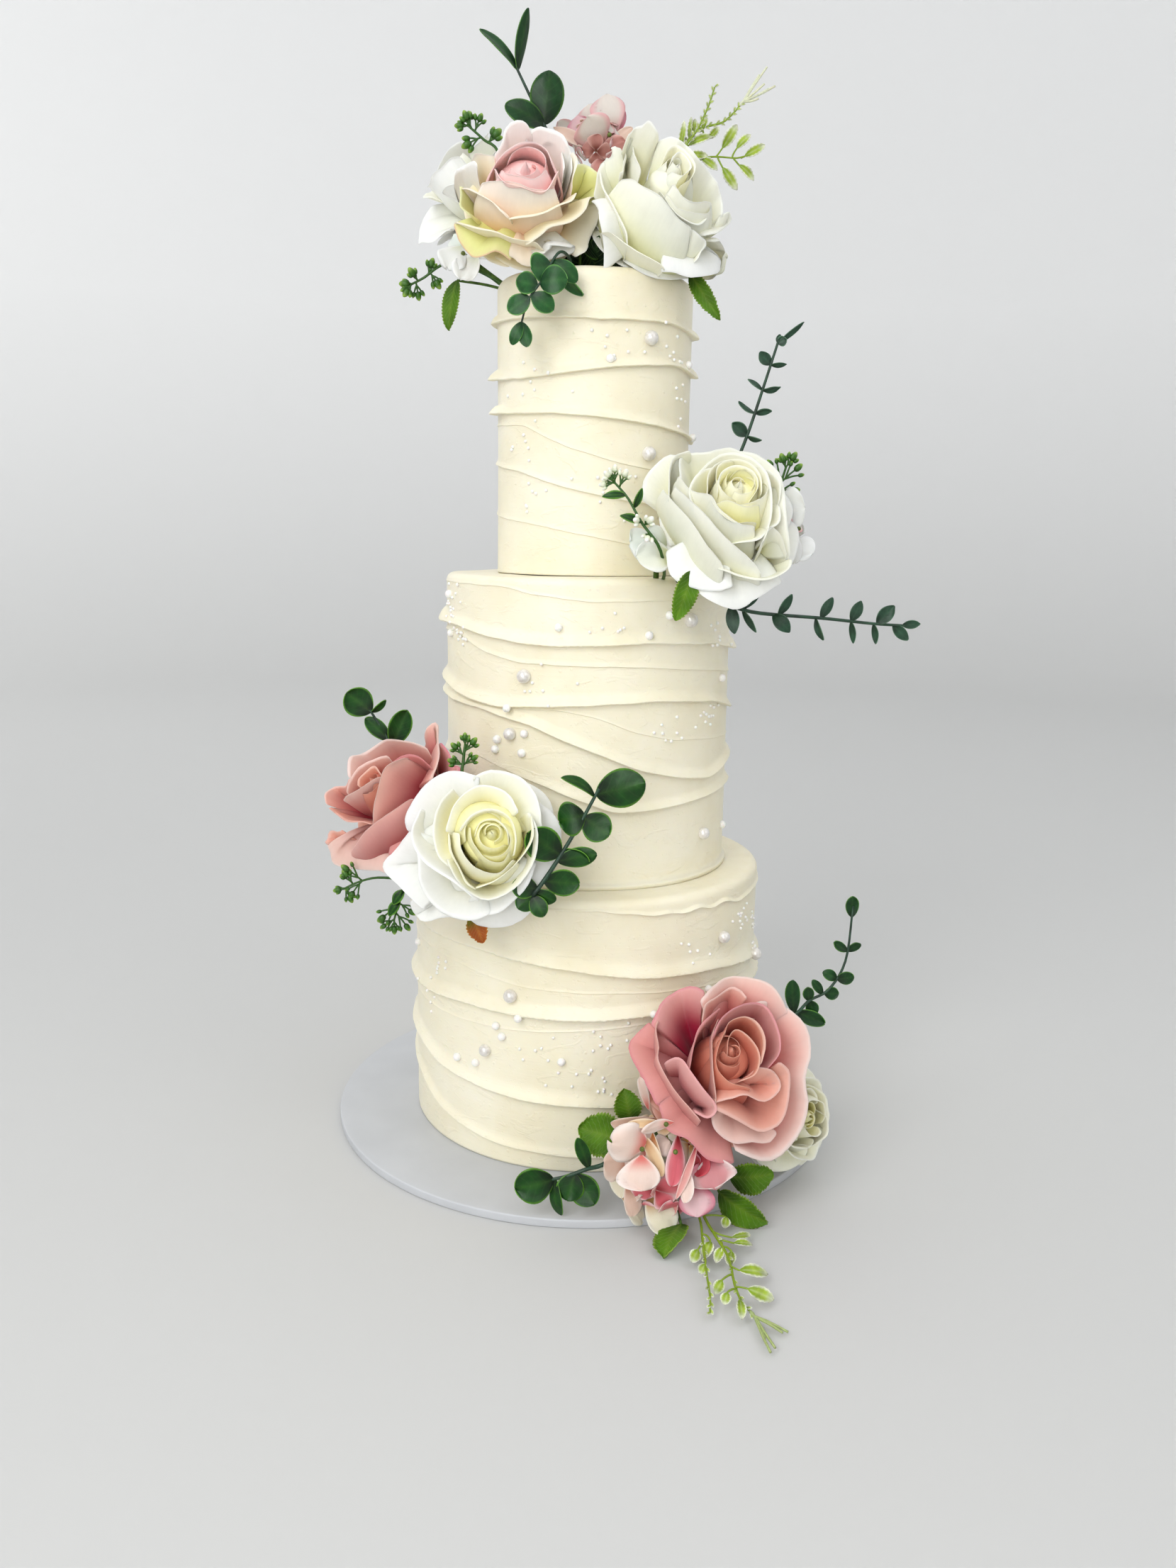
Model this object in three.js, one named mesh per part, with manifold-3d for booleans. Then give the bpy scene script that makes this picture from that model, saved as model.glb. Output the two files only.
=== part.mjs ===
// Three-tier buttercream wedding cake on its round board, dressed with artificial roses and greenery.
// Millimetres, +Z up, front of the cake toward -Y, origin at the centre of the board's underside.
import * as THREE from "three";
import { mergeVertices } from "three/addons/utils/BufferGeometryUtils.js";
import Module from "manifold-3d";

const wasm = await Module();
wasm.setup();

// ---- driving dimensions ----
const INCH = 25.4;
const BOARD_DIAMETER = 12 * INCH;
const BOARD_THICKNESS = 5;
const BOARD_EDGE = 0.8; // rounding of the wrapped rim
const BOARD_SIDES = 32;
const GAP = 0.3; // play between pieces that touch

const BOTTOM_RADIUS = 104; // an 8 inch cake with its buttercream
const MIDDLE_RADIUS = 83; // a 6 inch cake with its buttercream
const TOP_RADIUS = 54.6; // a 4 inch cake with its buttercream
const BOTTOM_TOP = 162; // height of each tier's flat top
const MIDDLE_TOP = 331;
const TOP_TOP = 490.8;
const TIER_COLUMNS = 22;
const RIM_ROUNDING = 6; // soft upper edge of a tier
const RIM_CORNER = 1.8; // how far the middle of the rounded edge stays inside a sharp corner
const LIP_SWELL = 7; // height over which the wall comes out to the lip of a ridge
const LIP_STEP = 0.6; // height of the step under a lip
const LIP_START = 0.2; // part of the lip that shows at the start of its swell
const ROW_LEAST = 0.35; // least height between two rows of the wall

const LEAF_THICKNESS = 1.2;
const NARROW_LEAF = 8; // a blade under this width has the simpler outline
const STEM_SIDES = 3;
const BUD_SIDES = 3;
const STALK_RADIUS = 1;
const CALYX = 0.13; // radius of the calyx behind a bloom, as part of the bloom's diameter
const BLOOM_PLAY = 3 * GAP; // room that leaves and later blooms leave round a bloom

// Buttercream ridges, from the upper one to the lower one. Each is a lip of spread cream with a sharp lower edge:
// how far the lip stands out, and its path as pairs of degrees round the tier (0 at the front, positive to the
// right) and height.
const BOTTOM_RIDGES = [
  {
    lip: 3.4,
    path: [
      [-150, 138], [-100, 134], [-62, 132], [-28, 130.5], [0, 124], [16, 119.5], [42, 117], [79, 108],
      [120, 106], [150, 118],
    ],
  },
  { lip: 3.6, path: [[-150, 100], [-100, 93], [-67, 93], [-39, 97], [5, 97], [40, 99], [80, 96], [120, 88]] },
  {
    lip: 3.2,
    path: [[-150, 66], [-100, 64], [-68, 59], [-54, 53], [-28, 48.3], [6, 45.5], [40, 44], [90, 52], [140, 62]],
  },
  { lip: 1.8, path: [[-150, 48], [-100, 46], [-68, 35], [-52, 24], [-28, 17], [20, 14], [60, 18], [110, 34]] },
];
const MIDDLE_RIDGES = [
  {
    lip: 3.2,
    path: [
      [-150, 296], [-100, 305], [-59, 304], [-37, 299], [-15, 296], [25, 298], [54, 296], [76, 291],
      [130, 286],
    ],
  },
  {
    lip: 2.0,
    path: [[-150, 286], [-100, 298], [-62, 300], [-44, 291], [-25, 286], [19, 285], [60, 280], [110, 272]],
  },
  {
    lip: 3.2,
    path: [
      [-150, 262], [-100, 274], [-78, 271], [-54, 265], [-35, 262], [-8, 264.5], [25, 267], [55, 264],
      [80, 256], [130, 250],
    ],
  },
  {
    lip: 3.0,
    path: [
      [-150, 250], [-90, 264], [-41, 259], [-21, 253.5], [-8, 245.5], [6, 238], [19, 229.5], [35, 224],
      [55, 220], [78, 227], [130, 234],
    ],
  },
  {
    lip: 2.6,
    path: [[-150, 200], [-90, 228], [-45, 232], [-17, 221], [11, 206], [36, 208], [80, 213], [120, 205]],
  },
];
const TOP_RIDGES = [
  { lip: 2.8, path: [[-120, 469], [-58, 467], [3, 464], [45, 465], [78, 461], [130, 466]] },
  {
    lip: 3.0,
    path: [[-135, 446], [-84, 438], [-45, 435.5], [-16, 437], [10, 440.5], [51, 444], [80, 440], [130, 449]],
  },
  { lip: 2.8, path: [[-140, 423], [-72, 419], [-16, 416.5], [25, 413], [60, 409], [90, 405], [140, 414]] },
];

const TIERS = [
  {
    name: "bottom_tier", radius: BOTTOM_RADIUS, shiftX: 0,
    floor: BOARD_THICKNESS, top: BOTTOM_TOP, ridges: BOTTOM_RIDGES,
  },
  {
    name: "middle_tier", radius: MIDDLE_RADIUS, shiftX: -0.9,
    floor: BOTTOM_TOP, top: MIDDLE_TOP, ridges: MIDDLE_RIDGES,
  },
  {
    name: "top_tier", radius: TOP_RADIUS, shiftX: 0.9,
    floor: MIDDLE_TOP, top: TOP_TOP, ridges: TOP_RIDGES,
  },
];

// Blooms: where the stem enters the cake, the bloom's centre, the way its heart faces (azimuth to the right of the
// viewer, elevation above level) and its size.
const ROSES = [
  {
    name: "pink_rose_front", root: [56, -80, 50], at: [70, -126, 80],
    azimuth: 12, elevation: 42, diameter: 94, depth: 54, colour: 0xdb9c97,
  },
  {
    name: "white_rose_front", root: [80, -58, 24], at: [110, -94, 35.5],
    azimuth: 38, elevation: 18, diameter: 68, depth: 44, colour: 0xf2f2e8,
  },
  {
    name: "white_rose_left", root: [-50, -78, 160], at: [-57, -116, 196],
    azimuth: 4, elevation: 18, diameter: 82, depth: 48, colour: 0xf4f4ee,
  },
  {
    name: "pink_rose_left", root: [-74, -52, 160], at: [-107, -72, 210],
    azimuth: -32, elevation: 38, diameter: 77, depth: 54, colour: 0xdfa29c,
  },
  {
    name: "white_rose_middle", root: [48, -50, 328], at: [66, -80, 358],
    azimuth: 2, elevation: 36, diameter: 86, depth: 52, colour: 0xf5f5ef,
  },
  {
    name: "blush_rose_top", root: [-20, -12, 488], at: [-35, -36, 526],
    azimuth: 4, elevation: 28, diameter: 76, depth: 52, colour: 0xf3d3c5,
  },
  {
    name: "white_rose_top_right", root: [18, -8, 488], at: [35, -22, 527],
    azimuth: 22, elevation: 38, diameter: 82, depth: 60, colour: 0xf3f4ec,
  },
  {
    name: "white_rose_top_left", root: [-30, 12, 488], at: [-67, 22, 542],
    azimuth: -48, elevation: 30, diameter: 78, depth: 46, colour: 0xf0f1ee,
  },
];
const HYDRANGEAS = [
  {
    name: "pink_hydrangea_front", root: [38, -90, 30], at: [44, -148, 35],
    azimuth: 0, elevation: 40, diameter: 70, depth: 46, colour: 0xefc3b4,
  },
  {
    name: "white_hydrangea_middle_left", root: [35, -60, 328], at: [33, -86, 347],
    azimuth: -20, elevation: 20, diameter: 32, depth: 18, colour: 0xe9ede0,
  },
  {
    name: "white_hydrangea_middle_right", root: [66, -38, 328], at: [108, -58, 356],
    azimuth: 60, elevation: 0, diameter: 38, depth: 22, colour: 0xeeece6,
  },
  {
    name: "pink_hydrangea_top", root: [0, 18, 488], at: [0, 26, 574],
    azimuth: 0, elevation: 20, diameter: 44, depth: 30, colour: 0xe6b4b4,
  },
  {
    name: "white_floret_top", root: [-44, -6, 484], at: [-75, -12, 503],
    azimuth: -20, elevation: -35, diameter: 26, depth: 9, colour: 0xf2f2f0,
  },
];

// Single leaves: where the stalk enters the cake, the blade's foot, tip and width, the roll of the blade about its
// midrib in degrees, and its colour.
const LEAF_GREEN = 0x5f9a2e;
const LEAVES = [
  ["rose_leaf_top_left", [-42, -6, 484], [-76, -9, 490], [-80, -12, 463], 10, 25, LEAF_GREEN],
  ["rose_leaf_top_right", [40, -26, 486], [51, -33, 491], [67, -42, 466], 9, 20, LEAF_GREEN],
  ["rose_leaf_middle", [45, -62, 328], [51, -96, 336], [43, -97, 311], 12, -15, LEAF_GREEN],
  ["rose_leaf_left", [-52, -86, 159], [-60, -116, 158], [-54, -119, 144], 10, 0, 0x9a5a1e],
  ["rose_leaf_front_a", [22, -98, 38], [20, -132, 40], [-3, -128, 45], 22, 10, LEAF_GREEN],
  ["rose_leaf_front_b", [26, -96, 44], [25, -122, 46], [21, -119, 63], 14, 0, LEAF_GREEN],
  ["rose_leaf_front_c", [42, -90, 14], [50, -160, 8], [40, -180, 1.2], 18, 70, LEAF_GREEN],
  ["rose_leaf_front_d", [62, -80, 30], [77, -137, 22], [100, -138, 25], 19, 15, LEAF_GREEN],
  ["rose_leaf_front_e", [60, -82, 22], [71, -144, 17], [96, -152, 5], 20, 30, LEAF_GREEN],
  ["dark_leaf_top", [-8, -30, 487], [-8, -40, 503], [4, -22, 512], 22, 30, 0x1f3a1c],
];

// Sprays: where the stem enters the cake, the stem's radius and route, then leaves as [place along the stem, offset
// of the tip, width, roll] and berries as [place along the stem, offset of the berry, radius].
const DARK_GREEN = 0x2f6b45;
const FRESH_GREEN = 0x3f7a2f;
const PALE_GREEN = 0x9fbf5a;
const SPRAYS = [
  {
    name: "tall_eucalyptus_top", colour: DARK_GREEN, stem: 1.3, root: [-4, 8, 488],
    path: [[-15, 14, 556], [-27, 13, 573], [-36, 12, 589], [-45, 12, 606]],
    leaves: [
      [1, [-21, 0, 20], 8, 40], [1, [6, 0, 31], 8, 50], [0.42, [3, -2, 27], 18, 0], [0.4, [-22, -3, 10], 13, 0],
    ],
  },
  {
    name: "hanging_eucalyptus_top", colour: DARK_GREEN, stem: 0.9, root: [-12, -42, 487],
    path: [[-19, -62, 494], [-27, -67, 480], [-34, -68, 470], [-38, -65, 458]],
    leaves: [
      [0.15, [-10, -4, -3], 15, 0], [0.1, [12, -2, -10], 9, 0], [0.12, [16, 6, -14], 7, 60],
      [0.45, [-11, -1, 2], 11, 0], [0.4, [14, -4, 1], 14, 0], [0.65, [-11, 0, -7], 10, 0],
      [0.6, [11, -1, -8], 10, 0], [1, [-5, 0, -11], 6, 0], [1, [3, 0, -12], 7, 0],
    ],
  },
  {
    name: "berry_sprig_top_upper", colour: FRESH_GREEN, stem: 1, root: [-36, 4, 488],
    path: [[-52, -8, 554], [-61, -9, 562], [-70, -10, 569]],
    berries: [
      [1, [-5, 0, 0], 2.4], [0.9, [-3, -2, 6], 2.4], [1, [0, 2, 6], 2.2], [0.8, [3, 0, 7], 2.2],
      [0.6, [-8, 0, -4], 2.8], [0.4, [5, 0, 5], 2.8],
    ],
  },
  {
    name: "berry_sprig_top_lower", colour: FRESH_GREEN, stem: 1, root: [-44, -8, 484],
    path: [[-77, -8, 500], [-86, -9, 497], [-94, -10, 491], [-102, -10, 487]],
    berries: [
      [1, [-4, 0, 0], 2.5], [1, [-3, -2, -5], 2.5], [0.9, [1, 2, -7], 2.3], [0.85, [-3, -3, 4], 2.5],
      [0.6, [2, 0, 6], 2.3], [0.55, [4, 0, -6], 2.5],
    ],
  },
  {
    name: "pale_spray_top", colour: PALE_GREEN, stem: 0.8, root: [18, 12, 488],
    path: [[46, 22, 558], [52, 20, 567], [66, 14, 580], [80, 11, 590], [94, 10, 599]],
    leaves: [
      [0.15, [6, 0, 24], 5, 0], [0.3, [12, -3, -4], 7, 0], [0.4, [19, -3, -4], 7, 0], [0.45, [22, -2, -15], 7, 0],
      [0.4, [8, 0, -14], 6, 0], [0.55, [-2, 0, 12], 5, 0], [0.7, [7, 0, -5], 4, 0],
    ],
  },
  {
    name: "eucalyptus_middle_up", colour: DARK_GREEN, stem: 1.2, root: [62, -40, 328],
    path: [[75, -46, 384], [83.5, -46, 408], [91, -46, 432.5], [98.5, -46, 458]],
    leaves: [
      [0.33, [-8.5, -1, 6.5], 9, 0], [0.33, [8, 0, -2], 4, 50], [0.5, [-9, 0, 6], 5, 40],
      [0.5, [9, 0, 1.5], 5, 40], [0.67, [-8, 0, 5.5], 5, 40], [0.67, [9.5, 0, 2], 5, 50],
      [0.85, [-6, 0, 6.5], 8, 0], [0.85, [8.5, 0, 0.5], 4, 50], [1, [4.5, -1, 2], 7, 0], [1, [1, 0, 4.5], 4, 0],
      [1, [13.5, 0, 11], 4, 40],
    ],
  },
  {
    name: "eucalyptus_middle_right", colour: DARK_GREEN, stem: 1.3, root: [60, -50, 327],
    path: [[72, -80, 319], [88, -72, 314], [125, -64, 311], [155, -59, 308], [174, -56, 307]],
    leaves: [
      [0.03, [2, -3, -15], 9, 10], [0.16, [10, 0, 10], 6, 40], [0.16, [8, 0, -12], 5, 40],
      [0.36, [7, 0, 11], 7, 30], [0.34, [9, -3, -9], 10, 0], [0.52, [6, 0, 11], 7, 0], [0.5, [5, 0, -12], 5, 40],
      [0.66, [5, 0, 11], 8, 0], [0.66, [2, 0, -12], 5, 40], [0.8, [9, 0, 10], 10, 0], [0.78, [2, 0, -11], 5, 40],
      [0.92, [9, 0, -8], 8, 0], [1, [10, 0, 1], 6, 0],
    ],
  },
  {
    name: "berry_sprig_middle_left", colour: FRESH_GREEN, stem: 1, root: [38, -60, 328],
    path: [[34, -95, 348], [25, -92, 360], [18, -88, 372], [10, -84, 381]],
    leaves: [[0.55, [4, 0, 10], 4, 0], [0.35, [-11, 0, 3], 5, 0], [0.75, [-12, 0, -1], 5, 0]],
    berries: [
      [1, [-6, 0, -1], 2], [1, [-4, -1, 4], 2], [1, [0, 0, 7], 2], [0.9, [3, 0, 7], 2],
      [0.35, [-3, -5, 1], 2.2], [0.3, [3, -5, 3], 2.2], [0.2, [-1, -6, -3], 2.2],
    ],
  },
  {
    name: "berry_sprig_middle_right", colour: FRESH_GREEN, stem: 1, root: [64, -36, 328],
    path: [[97, -52, 373], [101, -52, 381], [104, -52, 391]],
    berries: [
      [1, [-2, 0, 5], 2.2], [1, [4, 0, 6], 2.2], [0.7, [-7, 0, 8], 2.2], [0.6, [9, 0, 8], 2.2],
      [0.3, [10, 0, 1], 2.2],
    ],
  },
  {
    name: "eucalyptus_left_up", colour: DARK_GREEN, stem: 1.2, root: [-70, -38, 205],
    path: [[-108, -58, 236], [-113, -58, 244], [-121, -58, 257]],
    leaves: [
      [1, [-13, -2, 11], 16, 0], [1, [8, 0, 7], 4, 40], [0.3, [-13, 0, 12], 9, 20], [0.1, [9, -2, 20], 12, 0],
    ],
  },
  {
    name: "eucalyptus_left_right", colour: DARK_GREEN, stem: 1.5, root: [-32, -88, 160],
    path: [[-28, -132, 174], [-22, -131, 182], [-13, -129, 196], [-3, -126, 213], [5, -124, 228]],
    leaves: [
      [1, [25, 2, 6], 19, 0], [0.98, [-17, -2, 10], 7, 50], [0.82, [-13, 2, -4], 17, 0], [0.8, [13, -2, -9], 15, 0],
      [0.5, [-17, -2, 12], 17, 0], [0.55, [13, -2, -5], 6, 40], [0.45, [20, -1, 4], 10, 10],
      [0.25, [18, 2, -2], 13, 0], [0.08, [10, 0, -5], 8, 20],
    ],
  },
  {
    name: "berry_sprig_left_up", colour: FRESH_GREEN, stem: 1.2, root: [-52, -58, 206],
    path: [[-66, -97, 228], [-66, -96, 236], [-65, -95, 245]],
    berries: [
      [1, [0, 0, 5], 2], [0.8, [5, 0, 6], 2], [0.7, [-5, 0, 5], 2], [0.4, [6, 0, 4], 2], [0.4, [-6, 0, 2], 2],
    ],
  },
  {
    name: "berry_sprig_left_low_a", colour: FRESH_GREEN, stem: 0.9, root: [-72, -62, 160],
    path: [[-101, -94, 171], [-114, -93, 171], [-124, -92, 168], [-132, -92, 164]],
    berries: [
      [1, [-4, 0, -1], 2], [0.8, [-4, 0, 6], 2.2], [0.6, [-9, 0, 7], 2.2], [1, [3, 0, -6], 2],
      [0.6, [-6, 0, -8], 2],
    ],
  },
  {
    name: "berry_sprig_left_low_b", colour: FRESH_GREEN, stem: 0.9, root: [-68, -66, 160],
    path: [[-97, -99, 168], [-101, -98, 158], [-104, -97, 148]],
    leaves: [[0.1, [-6, 0, -8], 6, 0], [0.4, [-6, 0, -9], 6, 0]],
    berries: [
      [1, [0, 0, -6], 2.2], [1, [-6, 0, -4], 2], [0.8, [6, 0, -8], 2], [0.6, [-9, 0, -7], 2.2],
      [0.5, [7, 0, -5], 2],
    ],
  },
  {
    name: "eucalyptus_front_left", colour: DARK_GREEN, stem: 1.5, root: [30, -94, 36],
    path: [[12, -148, 36], [1, -147, 31], [-9, -147, 27], [-17, -147, 25]],
    leaves: [
      [1, [-20, -2, -4], 18, 0], [0.95, [3, -3, -19], 7, 30], [0.6, [12, -5, -14], 15, 0],
      [0.55, [-4, -4, -13], 14, 0], [0.3, [-6, -2, 18], 7, 0],
    ],
  },
  {
    name: "eucalyptus_front_up", colour: DARK_GREEN, stem: 1.1, root: [84, -54, 84],
    path: [[112, -98, 96], [123, -94, 104], [134, -92, 110], [143, -89, 126], [146, -86, 156]],
    leaves: [
      [1, [0, 0, 12], 7, 0], [0.84, [-8, 0, 5], 5, 20], [0.84, [7, 0, 4], 5, 20], [0.64, [-8, 0, 4], 6, 20],
      [0.64, [9, -1, 2], 7, 0], [0.44, [-6, 0, 8], 5, 20], [0.46, [8, 0, 0], 7, 0], [0.26, [4, 0, -8], 7, 0],
      [0.26, [-1, 0, 8], 6, 0], [0.06, [-2, 0, 19], 8, 0], [0.08, [16, -1, -6], 8, 0],
    ],
  },
  {
    name: "pale_fern_front", colour: PALE_GREEN, stem: 0.9, root: [50, -88, 22],
    path: [[61, -161, 8], [64, -178, 3.5], [69, -200, 2.2], [76, -221, 2.2], [84, -242, 2.2]],
    leaves: [
      [0.12, [14, -8, 0], 6, 80], [0.25, [-9, -16, 0], 6, 80], [0.35, [15, -9, 0], 6, 80],
      [0.5, [-10, -16, 0], 6, 80], [0.55, [17, -10, 0], 6, 80], [0.7, [18, -8, 0], 6, 80],
      [0.78, [-5, -16, 0], 5, 80], [1, [12, -3, 0], 4, 80], [1, [0, -12, 0], 4, 80],
    ],
  },
];

// ---- shared geometry ----
const radians = (degrees) => (degrees * Math.PI) / 180;
const vector = (xyz) => new THREE.Vector3(...xyz);

// Height of a ridge at an angle: straight runs between the points of its path, closed round the tier.
function ridgeHeight(path, degrees) {
  const turn = (d) => ((d % 360) + 360) % 360;
  for (let i = 0; i < path.length; i++) {
    const [from, low] = path[i];
    const [to, high] = path[(i + 1) % path.length];
    const along = turn(degrees - from) / turn(to - from);
    if (along <= 1) return low + (high - low) * along;
  }
  return path[0][1];
}

// A closed surface from rows of points between two poles. Seen from beyond the first pole, each row runs
// counter-clockwise.
function polarSurface(firstPole, rows, lastPole) {
  const columns = rows[0].length;
  const positions = [firstPole, ...rows.flat(), lastPole].flatMap((p) => p.toArray());
  const index = [];
  const at = (row, column) => 1 + row * columns + (column % columns);
  const last = 1 + rows.length * columns;
  for (let c = 0; c < columns; c++) {
    index.push(0, at(0, c), at(0, c + 1));
    index.push(last, at(rows.length - 1, c + 1), at(rows.length - 1, c));
    for (let r = 0; r + 1 < rows.length; r++) {
      index.push(at(r, c), at(r + 1, c), at(r + 1, c + 1));
      index.push(at(r, c), at(r + 1, c + 1), at(r, c + 1));
    }
  }
  const geometry = new THREE.BufferGeometry();
  geometry.setAttribute("position", new THREE.Float32BufferAttribute(positions, 3));
  geometry.setIndex(index);
  return geometry;
}

function toSolid(geometry) {
  const bare = geometry.clone();
  for (const name of ["normal", "uv"]) bare.deleteAttribute(name);
  const merged = mergeVertices(bare, 1e-4);
  const mesh = new wasm.Mesh({
    numProp: 3,
    vertProperties: new Float32Array(merged.attributes.position.array),
    triVerts: new Uint32Array(merged.index.array),
  });
  return new wasm.Manifold(mesh);
}

function toGeometry(solid) {
  const mesh = solid.getMesh();
  const geometry = new THREE.BufferGeometry();
  geometry.setAttribute("position", new THREE.Float32BufferAttribute(mesh.vertProperties, 3));
  geometry.setIndex(new THREE.Uint32BufferAttribute(mesh.triVerts, 1));
  geometry.computeVertexNormals();
  return geometry;
}

// The largest of the bodies that a cut leaves.
function largestBody(solid) {
  return solid.decompose().sort((a, b) => b.volume() - a.volume())[0];
}

// Frame of a bloom: X to the viewer's right, Z the way it faces.
function facing(azimuth, elevation, at) {
  const [a, e] = [radians(azimuth), radians(elevation)];
  const right = new THREE.Vector3(Math.cos(a), Math.sin(a), 0);
  const out = new THREE.Vector3(Math.sin(a) * Math.cos(e), -Math.cos(a) * Math.cos(e), Math.sin(e));
  return new THREE.Matrix4().makeBasis(right, out.clone().cross(right), out).setPosition(...at);
}

// ---- board ----
function boardGeometry() {
  const radius = BOARD_DIAMETER / 2;
  const profile = [
    [0, 0],
    [radius - BOARD_EDGE, 0],
    [radius, BOARD_EDGE],
    [radius, BOARD_THICKNESS - BOARD_EDGE],
    [radius - BOARD_EDGE, BOARD_THICKNESS],
    [0, BOARD_THICKNESS],
  ].map(([r, z]) => new THREE.Vector2(r, z));
  return new THREE.LatheGeometry(profile, BOARD_SIDES).rotateX(Math.PI / 2);
}

// ---- tiers ----
// Rows run from the flat top over the soft rim and down the wall. At each ridge the wall swells to the lip over a
// few millimetres and steps back under it. grow adds the play that a neighbour keeps.
function tierGeometry(tier, grow = 0) {
  const radius = tier.radius + grow;
  const floor = tier.floor + GAP - grow;
  const top = tier.top + grow;
  const columns = Array.from({ length: TIER_COLUMNS }, (_, i) => (360 * i) / TIER_COLUMNS);
  const profiles = columns.map((degrees) => {
    const profile = [
      [radius - RIM_ROUNDING, top],
      [radius - RIM_CORNER, top - RIM_CORNER],
      [radius, top - RIM_ROUNDING],
    ];
    for (const { lip, path } of tier.ridges) {
      const edge = ridgeHeight(path, degrees);
      const above = profile[profile.length - 1][1] - 2 * ROW_LEAST;
      const room = Math.min(1, Math.max(0, (above - edge) / LIP_SWELL));
      profile.push([radius + LIP_START * lip * room, Math.min(edge + LIP_SWELL, above + ROW_LEAST)]);
      profile.push([radius + lip * room, Math.min(edge, above)]);
      profile.push([radius, Math.min(edge, above) - LIP_STEP]);
    }
    profile.push([radius, floor]);
    return profile;
  });
  const rows = profiles[0].map((_, row) =>
    profiles.map((profile, column) => {
      const [r, z] = profile[row];
      const angle = radians(columns[column]);
      return new THREE.Vector3(tier.shiftX + r * Math.sin(angle), -r * Math.cos(angle), z);
    }),
  );
  return polarSurface(new THREE.Vector3(tier.shiftX, 0, top), rows, new THREE.Vector3(tier.shiftX, 0, floor));
}

// ---- roses ----
// A bloom as rings of petals from the calyx at the back to the bud in front: each ring is a lip and the trough
// inside it, as parts of the radius and the depth. Its petals overlap like a spiral, and each bulges in its middle.
const ROSE_COLUMNS = 12;
const ROSE_RINGS = [
  { petals: 1, lip: [0.3, -0.5], trough: null },
  { petals: 1, lip: [0.72, -0.26], trough: null },
  { petals: 5, lip: [1.0, 0.02], trough: [0.84, 0.06] },
  { petals: 5, lip: [0.8, 0.24], trough: [0.62, 0.22] },
  { petals: 4, lip: [0.56, 0.4], trough: [0.4, 0.33] },
  { petals: 4, lip: [0.34, 0.5], trough: [0.2, 0.42] },
];
const ROSE_BACK = -0.55; // poles of the bloom, as parts of the depth
const ROSE_FRONT = 0.5;
const LIP_OVERLAP = 0.14; // how far a petal's one side lies outside the next one's, as part of the radius
const TROUGH_OVERLAP = 0.1;
const RING_TURN = 0.37; // of a petal, from one ring to the next

function roseGeometry({ diameter, depth }, grow = 0) {
  const radius = diameter / 2;
  const scale = 1 + grow / radius;
  const ring = ([r, z], petals, phase, overlap) =>
    Array.from({ length: ROSE_COLUMNS }, (_, i) => {
      const turns = i / ROSE_COLUMNS;
      const within = (turns * petals + phase) % 1;
      const spiral = petals > 1 ? overlap * (0.5 - within) : 0;
      const bulge = petals > 1 ? 0.5 * overlap * Math.sin(Math.PI * within) : 0;
      const angle = 2 * Math.PI * turns;
      const out = radius * r * (1 + spiral + bulge) * scale;
      const up = depth * (z + 0.4 * bulge) * scale;
      return new THREE.Vector3(out * Math.cos(angle), out * Math.sin(angle), up);
    });
  const rows = [];
  ROSE_RINGS.forEach(({ petals, lip, trough }, i) => {
    rows.push(ring(lip, petals, RING_TURN * i, LIP_OVERLAP));
    if (trough) rows.push(ring(trough, petals, RING_TURN * i, TROUGH_OVERLAP));
  });
  const back = new THREE.Vector3(0, 0, ROSE_BACK * depth * scale);
  const front = new THREE.Vector3(0, 0, ROSE_FRONT * depth * scale);
  return polarSurface(front, rows.reverse(), back);
}

// ---- hydrangeas ----
// A cluster of florets as one dome, with a swelling for each floret.
const HYDRANGEA_COLUMNS = 12;
const HYDRANGEA_ROWS = 6;
const FLORETS_ROUND = 5;
const FLORET_SWELL = 0.09; // as part of the radius

function hydrangeaGeometry({ diameter, depth }, grow = 0) {
  const rows = [];
  for (let r = 1; r < HYDRANGEA_ROWS; r++) {
    const tilt = (Math.PI * r) / HYDRANGEA_ROWS;
    rows.push(
      Array.from({ length: HYDRANGEA_COLUMNS }, (_, i) => {
        const angle = (2 * Math.PI * i) / HYDRANGEA_COLUMNS;
        const lobe = 1 + FLORET_SWELL * Math.cos(FLORETS_ROUND * angle + 2 * r) * Math.sin(tilt);
        const out = (diameter / 2 + grow) * Math.sin(tilt) * lobe;
        const up = (depth / 2 + grow) * Math.cos(tilt) * lobe;
        return new THREE.Vector3(out * Math.cos(angle), out * Math.sin(angle), up);
      }),
    );
  }
  const pole = depth / 2 + grow;
  return polarSurface(new THREE.Vector3(0, 0, pole), rows, new THREE.Vector3(0, 0, -pole));
}

// ---- leaves and stems ----
// Half outlines of blades from foot to tip, as parts of the length and of the half width.
const NARROW_OUTLINE = [[0, 0], [0.5, 1], [1, 0]];
const ROUND_OUTLINE = [[0, 0], [0.35, 0.9], [0.8, 0.85], [1, 0]];
const POINTED_OUTLINE = [[0, 0], [0.25, 0.75], [0.6, 1], [0.85, 0.5], [1, 0]];

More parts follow.
